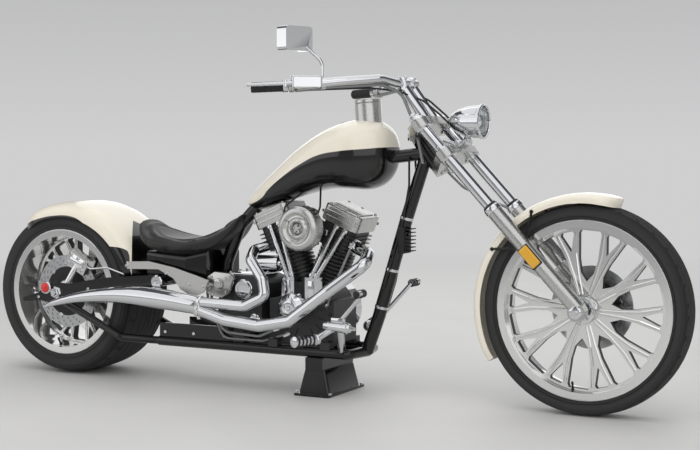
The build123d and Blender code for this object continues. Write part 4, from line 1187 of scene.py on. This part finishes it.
class CHOPPER_OT_primary(bpy.types.Operator):
    """Covers and bolts of the primary drive, and the final drive belt"""
    bl_idname = "chopper.primary"
    bl_label = "Primary drive"

    def execute(self, context):
        bm = bmesh.new()
        clutch = Vector((-270, 0, 330))
        for centre, radius, inner in ((clutch, 66, 50), (CRANK, 60, 40)):
            turn(bm, [(170, 0), (170, radius + 6), (174, radius + 6), (176, radius),
                      (178, radius), (180, radius - 3), (180, inner), (178, inner - 4),
                      (178, 0)], centre, ACROSS, 64)
            bolt_ring(bm, centre, 178, radius - 9, 5, 4.5, ACROSS, 18)
        brick(bm, (-134, 173, 315), (84, 6, 60), 2.8)
        face_bolts(bm, [(x, z) for x in (-168, -100) for z in (293, 337)], 175, ACROSS, 4, 4)
        for index in range(7):
            # screws round both ends, and pairs along the straight edges
            for centre, radius, first in ((CRANK, 103, -84), (clutch, 87, 98)):
                socket_bolt(bm, polar(centre, radius, first + index * 26, 171), ACROSS, 4.5, 5)
        make_piece("primary_details", bm, "chrome_plate")

        # toothed belt from the gearbox to the rear wheel
        small_at, small, large = Vector((-300, 0, 336)), 44, 108
        gap = small_at - REAR_AXLE
        base, touch = heading(gap), degrees(acos((large - small) / gap.length))
        steps = 30
        outline = [polar(centre, radius, start + sweep * index / steps, 88)
                   for centre, radius, start, sweep in (
                       (REAR_AXLE, large, base + touch, 360 - 2 * touch),
                       (small_at, small, base - touch, 2 * touch))
                   for index in range(steps + 1)]
        bm = bmesh.new()
        verts = [bm.verts.new(point) for point in outline]
        edges = [bm.edges.new(pair) for pair in zip(verts, verts[1:] + verts[:1])]
        far = new_verts(bmesh.ops.extrude_edge_only(bm, edges=edges)["geom"])
        bmesh.ops.translate(bm, verts=far, vec=(0, 24, 0))
        bmesh.ops.recalc_face_normals(bm, faces=bm.faces)
        bmesh.ops.solidify(bm, geom=bm.faces[:], thickness=4.5)
        make_piece("drive_belt", bm, "moulded_rubber")
        bm = bmesh.new()
        for index in range(BELT_TEETH):
            angle = index * 360 / BELT_TEETH
            brick(bm, polar(REAR_AXLE, 105.5, angle, 100), (4, 30, 3.6), 0,
                  Matrix.Rotation(-radians(angle), 3, "Y"))
        for way in (84, 116):
            turn(bm, [(way - 2.5, 100), (way - 2.5, 110), (way + 2.5, 110), (way + 2.5, 100),
                      (way - 2.5, 100)], REAR_AXLE, ACROSS, 90)
        bolt_ring(bm, REAR_AXLE, 117, 62, 5, 7, ACROSS, 20)
        make_piece("pulley_teeth", bm, "cast_aluminium", "rear_wheel")
        return {"FINISHED"}


BAR_ROUTE = [Vector(point) for point in ((372, 0, 1142), (372, -56, 1142), (330, -132, 1160),
                                         (240, -226, 1151), (106, -340, 1132),
                                         (-40, -396, 1126))]
BAR_SEAT, *_, BAR_RISE, BAR_BEND, BAR_END = BAR_ROUTE
BAR_IN = (BAR_BEND - BAR_END).normalized()
BAR_ON = (BAR_RISE - BAR_BEND).normalized()
RESERVOIR_AT = BAR_BEND + BAR_ON * 30 + Vector((BAR_ON.y, -BAR_ON.x, 0)).normalized() * 33.2 \
    + UP * 10
HEAD_AT = BAR_BEND + BAR_ON * 94 + Vector((-84, -48, 155))


class CHOPPER_OT_controls(bpy.types.Operator):
    """Ribbed grips, switches, reservoir lids, mirror glass, hoses and cables"""
    bl_idname = "chopper.controls"
    bl_label = "Controls"

    def execute(self, context):
        rubber, metal, switch = (bmesh.new() for _ in range(3))
        for side, flip in SIDES:
            end, into = flip @ BAR_END, flip @ BAR_IN
            profile = [(-2, 13.2), (-2, 17.5)]
            for index in range(13):
                # soft ribs round the grip
                low = index * 8.2
                profile += [(low, 17.6), (low + 1.2, 18.5), (low + 5.6, 18.5), (low + 6.8, 17.6)]
            profile += [(108, 18.6), (109, 20.5), (112, 20.5), (112, 13.2), (-2, 13.2)]
            turn(rubber, profile, end, into, 40)
            turn(metal, [(-6, 0), (-6, 12), (-4, 17), (-2, 18), (-2, 0)], end, into, 40)
            # switch housing in two halves, with its rocker and button
            turn(switch, [(131, 13), (131, 21), (133, 23), (141, 23), (141.6, 22), (142.4, 22),
                          (143, 23), (150, 23), (152, 21), (152, 16)], end, into, 32)
            back = flip @ Vector((-0.36, 0.93, 0.1))
            brick(switch, end + into * 141 + back * 24, (12, 6, 10), 2, facing(into))
            brick(switch, end + into * 141 + back * 21 + UP * 12, (8, 8, 6), 2, facing(into))
            # lid with its screws on the fluid reservoir
            on = flip @ BAR_ON
            lid = flip @ RESERVOIR_AT + UP * 18
            along = facing((on.x, on.y, 0))
            brick(metal, lid, (110, 36, 5), 2, along)
            for reach in (-46, 46):
                socket_bolt(metal, lid + along @ Vector((reach, 0, 2)), UP, 4.5, 4)
            turn(metal, [(0, 0), (0, 11), (3, 12), (6, 12), (8, 9), (8, 0)],
                 flip @ RESERVOIR_AT + along @ Vector((14, 0, -6)), along @ (ACROSS * side), 24)
            # pivot screw and end ball of the lever
            root = end + into * 125 + flip @ Vector((BAR_IN.y, -BAR_IN.x, 0)) * 48 + UP * 8
            turn(metal, barrel(-13, 13, 8, 2), root, UP, 20)
            turn(metal, [(-6, 0), (-5, 3.5), (0, 6.2), (5, 6), (9, 5), (9, 0)],
                 root - into * 131, into, 20)
            # clamps and cap screws on the risers
            for way in (-1, 1):
                socket_bolt(metal, BAR_SEAT + Vector((14 * way, side * 38, 22)),
                            Vector((0.55, 0, 0.8)), 6, 8)
        make_piece("grips_ribbed", rubber, "moulded_rubber", "fork",
                   stands_for="grips")
        make_piece("control_fittings", metal, "chrome_plate", "fork")
        make_piece("switch_housings", switch, "satin_aluminium", "fork")

        # glass in its bead on the back of the mirror's head
        spin = Matrix.Rotation(radians(-20), 3, "Z")
        bm = bmesh.new()
        brick(bm, HEAD_AT + spin @ Vector((-25.4, 0, 0)), (1.2, 104, 68), 0.4, spin)
        make_piece("mirror_glass", bm, "silvered_glass", "fork")
        bm = bmesh.new()
        corners = [HEAD_AT + spin @ Vector((-25, y, z)) for y, z in
                   ((0, -36), (50, -36), (54, -30), (54, 30), (50, 36), (-50, 36), (-54, 30),
                    (-54, -30), (-50, -36), (0, -36))]
        pipe(bm, corners, 2.4, 6, 8, 4)
        turn(bm, [(-9, 0), (-8, 6), (-4, 9.5), (0, 11), (4, 9.5), (8, 6), (9, 0)],
             BAR_BEND + BAR_ON * 94 + Vector((-62, -23, 135)), UP, 20)
        make_piece("mirror_bead", bm, "moulded_rubber", "fork")

        bm = bmesh.new()
        for side, flip in SIDES:
            # hydraulic hose under the bar, down past the neck
            route = [(96, -330, 1116), (170, -278, 1124), (244, -214, 1132), (330, -124, 1140),
                     (384, -66, 1112), (430, -58, 1000), (452, -56, 912), (470, -70, 860)]
            pipe(bm, [flip @ Vector(point) for point in route], 6, 60, 12, 8)
        pipe(bm, [(470, 70, 860), (560, 92, 770), (760, 84, 690), (900, 74, 560),
                  (950, 66, 478)], 4.6, 60, 12, 8)
        make_piece("brake_hoses", bm, "braided_steel", "fork")
        bm = bmesh.new()
        for (_, flip), lift in zip(SIDES, (0, 6)):
            route = [(100, -330, 1116), (206, -250, 1122 + lift), (300, -150, 1128),
                     (372, -70, 1118), (452, -30, 1084), (520, -24, 1030), (560, -16, 990)]
            pipe(bm, [flip @ Vector(point) for point in route], 3.6, 60, 10, 8)
        make_piece("wiring_looms", bm, "moulded_rubber", "fork")
        return {"FINISHED"}


LAMP_FACE = Vector((676, 0, 1008))


class CHOPPER_OT_fork(bpy.types.Operator):
    """Clamp bolts, leg caps, seals, markers, pinch bolts and the bullet headlight"""
    bl_idname = "chopper.fork"
    bl_label = "Fork details"

    def execute(self, context):
        metal, seals, amber, backs = (bmesh.new() for _ in range(4))
        for side in (-1, 1):
            y = side * LEG_Y
            # threaded cap on the leg, then pinch bolts through each clamp
            turn(metal, [(0, 0), (0, 21), (4, 24), (16, 24), (19, 20), (19, 11), (30, 11),
                         (32, 9), (32, 0)], leg_at(1010, y), -LEG_DIR, 6)
            turn(metal, [(-2, 21.6), (-2, 26), (0, 28), (14, 28), (16, 26), (16, 21.6)],
                 leg_at(994, y), -LEG_DIR, 40)
            for z in (995, 892):
                spot = leg_at(z, y)
                for lift in (-9, 9):
                    socket_bolt(metal, spot + Vector((-16, side * 26, 18)) * 0.9
                                - STEER_DIR * lift, Vector((-0.5, side, 0.4)), 5, 7)
                turn(metal, [(-22, 21.6), (-22, 30), (-19, 32), (19, 32), (22, 30),
                             (22, 21.6)], spot, LEG_DIR, 40)
            # dust seal and its chrome ring on the slider
            turn(seals, [(-10, 21.6), (-9, 25), (0, 27.5), (0, 21.6)], leg_at(710, y), LEG_DIR, 36)
            turn(metal, [(0, 28), (0.5, 30), (3, 31), (18, 31), (21, 30), (22, 28)],
                 leg_at(710, y), LEG_DIR, 40)
            # axle nut and pinch bolts
            end = FRONT_AXLE + Vector((0, side * 128, 0))
            turn(metal, [(0, 0), (0, 22), (4, 24), (8, 24), (10, 20), (10, 10), (0, 10)], end,
                 ACROSS * side, 6)
            for along in (-26, 26):
                socket_bolt(metal, FRONT_AXLE + Vector((0, y, 0)) + LEG_DIR * 30
                            + STEER_OUT * along * 0.7, LEG_DIR, 5, 5)
            # side marker: lens on a dark base along the slider
            lamp = leg_at(547, side * (LEG_Y + 27))
            along = facing(LEG_DIR)
            brick(backs, lamp, (88, 8, 42), 3, along)
            brick(amber, lamp + ACROSS * side * 6, (80, 10, 36), 4, along, 3)
            socket_bolt(metal, leg_at(612, side * (LEG_Y + 28)), ACROSS * side, 4.5, 4)
        # stem nut, lock ring and steering stops
        top = leg_at(995) - STEER_OUT * 68
        turn(metal, [(17, 0), (17, 30), (21, 33), (28, 33), (31, 29), (31, 20), (48, 20),
                     (51, 17), (51, 0)], top, -STEER_DIR, 6)
        turn(metal, [(-20, 34), (-20, 39), (-15, 41), (-10, 39), (-10, 34)], top, STEER_DIR, 48)
        socket_bolt(metal, leg_at(868, -62) - STEER_OUT * 34, STEER_DIR, 11, 22)
        make_piece("fork_fittings", metal, "chrome_plate", "fork")
        make_piece("fork_seals", seals, "moulded_rubber", "fork")
        make_piece("marker_backs", backs, "moulded_nylon", "fork")
        make_piece("marker_lenses", amber, "amber_acrylic", "fork")

        shell, inside, glass = (bmesh.new() for _ in range(3))
        turn(shell, [(-138, 0), (-137, 8), (-132, 18), (-118, 31), (-96, 44), (-66, 53.5),
                     (-36, 57), (-14, 58), (-13, 61), (-10, 62), (-2, 62), (0, 60), (0, 55.5),
                     (-3, 54)], LAMP_FACE, AHEAD, 72)
        turn(inside, [(-3, 54), (-14, 52.5), (-34, 46), (-56, 34), (-70, 20), (-74, 9),
                      (-74, 0)], LAMP_FACE, AHEAD, 72)
        turn(inside, [(-74, 0), (-74, 7), (-50, 7), (-46, 5), (-44, 0)], LAMP_FACE, AHEAD, 20)
        turn(glass, [(-4, 54.5), (-3, 53), (1.5, 38), (4, 20), (4.6, 0)], LAMP_FACE - AHEAD * 5,
             AHEAD, 64)
        foot = leg_at(950)
        turn(shell, [(0, 0), (0, 16), (4, 18), (18, 18), (22, 14), (30, 11), (30, 0)],
             LAMP_FACE - Vector((64, 0, 82)), UP, 32)
        pipe(shell, [LAMP_FACE - Vector((64, 0, 74)), foot + Vector((40, 0, -24)),
                     foot + Vector((0, 0, -12))], 11, 30, 20)
        for side in (-1, 1):
            joint = Vector((590, side * 40, 930))
            pipe(shell, [LAMP_FACE - Vector((70, 0, 70)), joint, leg_at(900, side * 78)], 7, 24,
                 14)
            turn(shell, barrel(-12, 12, 12, 3), joint, ACROSS, 20)
        bolt_ring(shell, Vector((590, 0, 930)), -54, 0.1, 1, 7)
        make_piece("headlight_shell", shell, "chrome_plate", "fork", stands_for="headlight",
                   crease=28)
        make_piece("headlight_reflector", inside, "silvered_glass", "fork")
        make_piece("headlight_glass", glass, "lamp_glass", "fork")

        bm = bmesh.new()
        caliper = polar(FRONT_AXLE, 138, 133, 61)
        for along in (-26, 26):
            for across in (-16, 16):
                spot = caliper + Matrix.Rotation(radians(-43), 3, "Y") @ Vector(
                    (across, 28, along))
                socket_bolt(bm, spot, ACROSS, 6, 6)
        turn(bm, [(0, 0), (0, 5), (10, 5), (12, 3), (12, 0)],
             caliper + Vector((-14, 20, 44)), (-0.5, 0, 1), 12)
        make_piece("front_caliper_bolts", bm, "chrome_plate", "fork")
        return {"FINISHED"}


class CHOPPER_OT_fittings(bpy.types.Operator):
    """Pegs, pedals, regulator fins, rear lamps, axle nuts, straps, stands and bolts"""
    bl_idname = "chopper.fittings"
    bl_label = "Frame fittings"

    def execute(self, context):
        rubber, metal, black = (bmesh.new() for _ in range(3))
        for side, flip in SIDES:
            inner, outer = flip @ Vector((114, -212, 224)), flip @ Vector((84, -318, 226))
            way = (outer - inner).normalized()
            for index in range(5):
                low = 12 + index * 19
                turn(metal, barrel(low, low + 12, 19.5, 1, 16), inner, way, 28)
                turn(rubber, [(low + 12, 16), (low + 12.5, 21), (low + 18.5, 21),
                              (low + 19, 16)], inner, way, 28)
            turn(metal, [(106, 0), (106, 18), (110, 20), (113, 20), (116, 15), (116, 0)],
                 inner, way, 32)
            turn(metal, [(-8, 0), (-8, 18), (-4, 21), (6, 21), (10, 18), (10, 12)], inner, way, 32)
            turn(rubber, [(0, 12), (2, 15), (14, 15), (17, 12), (22, 15), (34, 15), (37, 12),
                          (42, 15), (54, 15), (57, 10), (57, 0)],
                 flip @ Vector((300, -202, 400)), ACROSS * side, 24)
            socket_bolt(metal, flip @ Vector((180, -206, 268)), ACROSS * side, 9, 8)
            # rear axle nut and the adjuster's screw
            end = REAR_AXLE + Vector((0, side * 181, 0))
            turn(metal, [(0, 12.4), (0, 26), (3, 26), (3, 20), (15, 20), (17, 18), (17, 12.4)],
                 end, ACROSS * side, 6)
            turn(metal, [(0, 0), (0, 5), (46, 5), (46, 9), (54, 9), (56, 7), (56, 0)],
                 REAR_AXLE + Vector((-60, side * 171, -2)), (-1, 0, -0.12), 8)
            # pivot cap, strut bolts and plate bolts
            turn(metal, [(0, 0), (0, 24), (3, 26), (6, 26), (9, 22), (9, 8), (7, 6), (7, 0)],
                 Vector((-600, side * 180, 398)), ACROSS * side, 36)
            for y, radius, spots in (
                    (161.5, 7, ((-756, 454), (-570, 432), (-405, 388), (-470, 392))),
                    (108, 6.5, ((-612, 196), (-480, 196), (-340, 196))),
                    (180, 6, ((-1010, 316), (-930, 356), (-1178, 312)))):
                face_bolts(metal, spots, side * y, ACROSS * side, radius, 6)
        # brake master cylinder behind the right peg's arm
        turn(metal, [(0, 0), (0, 11), (4, 14), (16, 14), (18, 18), (84, 18), (86, 21),
                     (96, 21), (98, 18), (108, 15), (112, 8), (126, 6), (126, 0)],
             (140, -202, 276), (1, 0, -0.06), 32)
        brick(metal, (196, -196, 292), (52, 24, 30), 5)
        for index in range(7):
            # the regulator's cooling fins
            brick(black, (390, 0, 540 + index * 13.4), (18, 62, 3.6), 1)
        brick(black, (366, 0, 580), (26, 66, 98), 4)
        make_piece("regulator_finned", black, "moulded_nylon", stands_for="regulator")
        make_piece("peg_rubbers", rubber, "moulded_rubber")
        make_piece("frame_fittings", metal, "chrome_plate")

        bm, lens = (bmesh.new() for _ in range(2))
        for side in (-1, 1):
            spot = Vector((-1136, side * 180.4, 352))
            turn(bm, [(0, 0), (0, 24), (3, 26), (12, 26), (15, 23.5), (15, 20), (12, 19)],
                 spot, ACROSS * side, 40)
            turn(lens, [(10, 20.5), (16, 20.2), (20, 17), (23, 11), (24, 5), (24, 0)], spot,
                 ACROSS * side, 36)
        make_piece("rear_lamp_bezels", bm, "chrome_plate")
        make_piece("rear_lamp_lenses", lens, "red_acrylic", stands_for="rear_lamps")

        bm = bmesh.new()
        spot = polar(REAR_AXLE, 136, 62, -109)
        spin = Matrix.Rotation(radians(28), 3, "Y")
        for across in (-38, 0, 38):
            for up in (-18, 18):
                socket_bolt(bm, spot + spin @ Vector((across, -23, up)), RIGHT, 6, 6)
        brick(bm, spot + spin @ Vector((0, -24, 0)), (70, 5, 20), 2, spin)
        pipe(bm, [spot + Vector((40, -10, 20)), (-960, -150, 430), (-860, -148, 440),
                  (-720, -148, 400), (-560, -148, 300)], 4.4, 50, 12, 8)
        make_piece("rear_caliper_details", bm, "chrome_plate")

        # fuel gauge pot: bezel and needle over a plain dial; flush filler cap behind
        low, high = Vector((222, 0, 1000)), Vector((215, 0, 1094))
        way = (high - low).normalized()
        tall = (high - low).length
        bm = bmesh.new()
        turn(bm, [(0, 0), (0, 49), (tall - 18, 49), (tall - 15, 46.5), (tall - 13, 49),
                  (tall - 3, 49), (tall, 46), (tall, 41), (tall - 3, 39.5)], low, way, 64)
        cap, cap_way = Vector((110, 47, 1000)), Vector((-0.07, 0.02, 1))
        turn(bm, [(-14, 0), (-14, 27), (6, 28), (9, 26), (11, 22), (11, 12), (13, 10),
                  (13, 0)], cap, cap_way, 48)
        for index in range(24):
            angle = radians(index * 15)
            brick(bm, cap + Vector((27.6 * cos(angle), 27.6 * sin(angle), 3)), (2, 4, 6), 0.6,
                  Matrix.Rotation(angle, 3, "Z"))
        make_piece("gauge_pot", bm, "satin_aluminium", stands_for="tank_caps")
        bm = bmesh.new()
        turn(bm, [(tall - 5, 0), (tall - 5, 40), (tall - 3, 40), (tall - 3, 0)], low, way, 48)
        make_piece("gauge_dial", bm, "dial_enamel")
        bm = bmesh.new()
        across = way.cross(ACROSS).normalized()
        for index in range(31):
            angle = radians(-30 + index * 8)
            out = across * cos(angle) + ACROSS * sin(angle)
            size = (9, 1.6, 0.8) if index % 5 == 0 else (5, 0.9, 0.8)
            brick(bm, low + way * (tall - 2.6) + out * 34, size, 0, facing(out, way))
        out = across * 0.5 + ACROSS * 0.86
        brick(bm, low + way * (tall - 2) + out * 12, (40, 1.8, 0.8), 0, facing(out, way))
        turn(bm, [(tall - 3, 0), (tall - 3, 4), (tall - 1.4, 4), (tall - 1, 0)], low, way, 16)
        make_piece("gauge_marks", bm, "moulded_nylon")

        # cables and hoses down the front of the frame
        bm = bmesh.new()
        for route in ([(396, 26, 880), (400, 32, 780), (378, 31, 668), (345, 30, 560),
                       (302, 30, 420), (262, 34, 290)],
                      [(396, -26, 880), (398, -30, 780), (376, -30, 660), (346, -29, 560),
                       (296, -29, 400)],
                      [(352, 29, 582), (334, 34, 520), (296, 74, 420), (234, 128, 300)]):
            pipe(bm, route, 4, 80, 10, 8)
        make_piece("frame_cables", bm, "moulded_rubber")
        bm = bmesh.new()
        foot, top = Vector((262, 0, 290)), Vector((374, 0, 655))
        for z in (330, 470, 660):
            # band clips on the downtube
            spot = foot.lerp(top, (z - foot.z) / (top.z - foot.z))
            turn(bm, [(-5, 24.2), (-5, 25.6), (5, 25.6), (5, 24.2)], spot, (0.293, 0, 0.956), 32)
            socket_bolt(bm, spot + Vector((4, -26, 0)), RIGHT, 5, 10)
        for x in (-14, 126):
            for y in (-128, 128):
                socket_bolt(bm, (x, y, 10), UP, 7, 6)
        make_piece("clips_and_stand_bolts", bm, "chrome_plate")
        return {"FINISHED"}


OPERATORS = (CHOPPER_OT_finishes, CHOPPER_OT_stage, CHOPPER_OT_tyres, CHOPPER_OT_wheels,
             CHOPPER_OT_discs, CHOPPER_OT_fenders, CHOPPER_OT_tank, CHOPPER_OT_seat,
             CHOPPER_OT_exhaust, CHOPPER_OT_castings, CHOPPER_OT_engine, CHOPPER_OT_intake,
             CHOPPER_OT_primary, CHOPPER_OT_controls, CHOPPER_OT_fork, CHOPPER_OT_fittings)


class CHOPPER_PT_pieces(bpy.types.Panel):
    """Sizes, colours and pieces of the chopper"""
    bl_label = "Chopper"
    bl_idname = "CHOPPER_PT_pieces"
    bl_space_type = "VIEW_3D"
    bl_region_type = "UI"
    bl_category = "Chopper"

    def draw(self, context):
        for group in (context.scene.chopper_sizes, context.scene.chopper_colours):
            for name in group.bl_rna.properties.keys():
                if name not in ("rna_type", "name"):
                    self.layout.prop(group, name)
        for operator in OPERATORS:
            self.layout.operator(operator.bl_idname)


CLASSES = (ChopperSizes, ChopperColours, *OPERATORS, CHOPPER_PT_pieces)


def register():
    for kind in CLASSES:
        bpy.utils.register_class(kind)
    bpy.types.Scene.chopper_sizes = PointerProperty(type=ChopperSizes)
    bpy.types.Scene.chopper_colours = PointerProperty(type=ChopperColours)


def unregister():
    del bpy.types.Scene.chopper_colours
    del bpy.types.Scene.chopper_sizes
    for kind in reversed(CLASSES):
        bpy.utils.unregister_class(kind)


def main():
    register()
    for operator in OPERATORS:
        getattr(bpy.ops.chopper, operator.bl_idname.split(".")[1])()


if __name__ == "__main__":
    main()
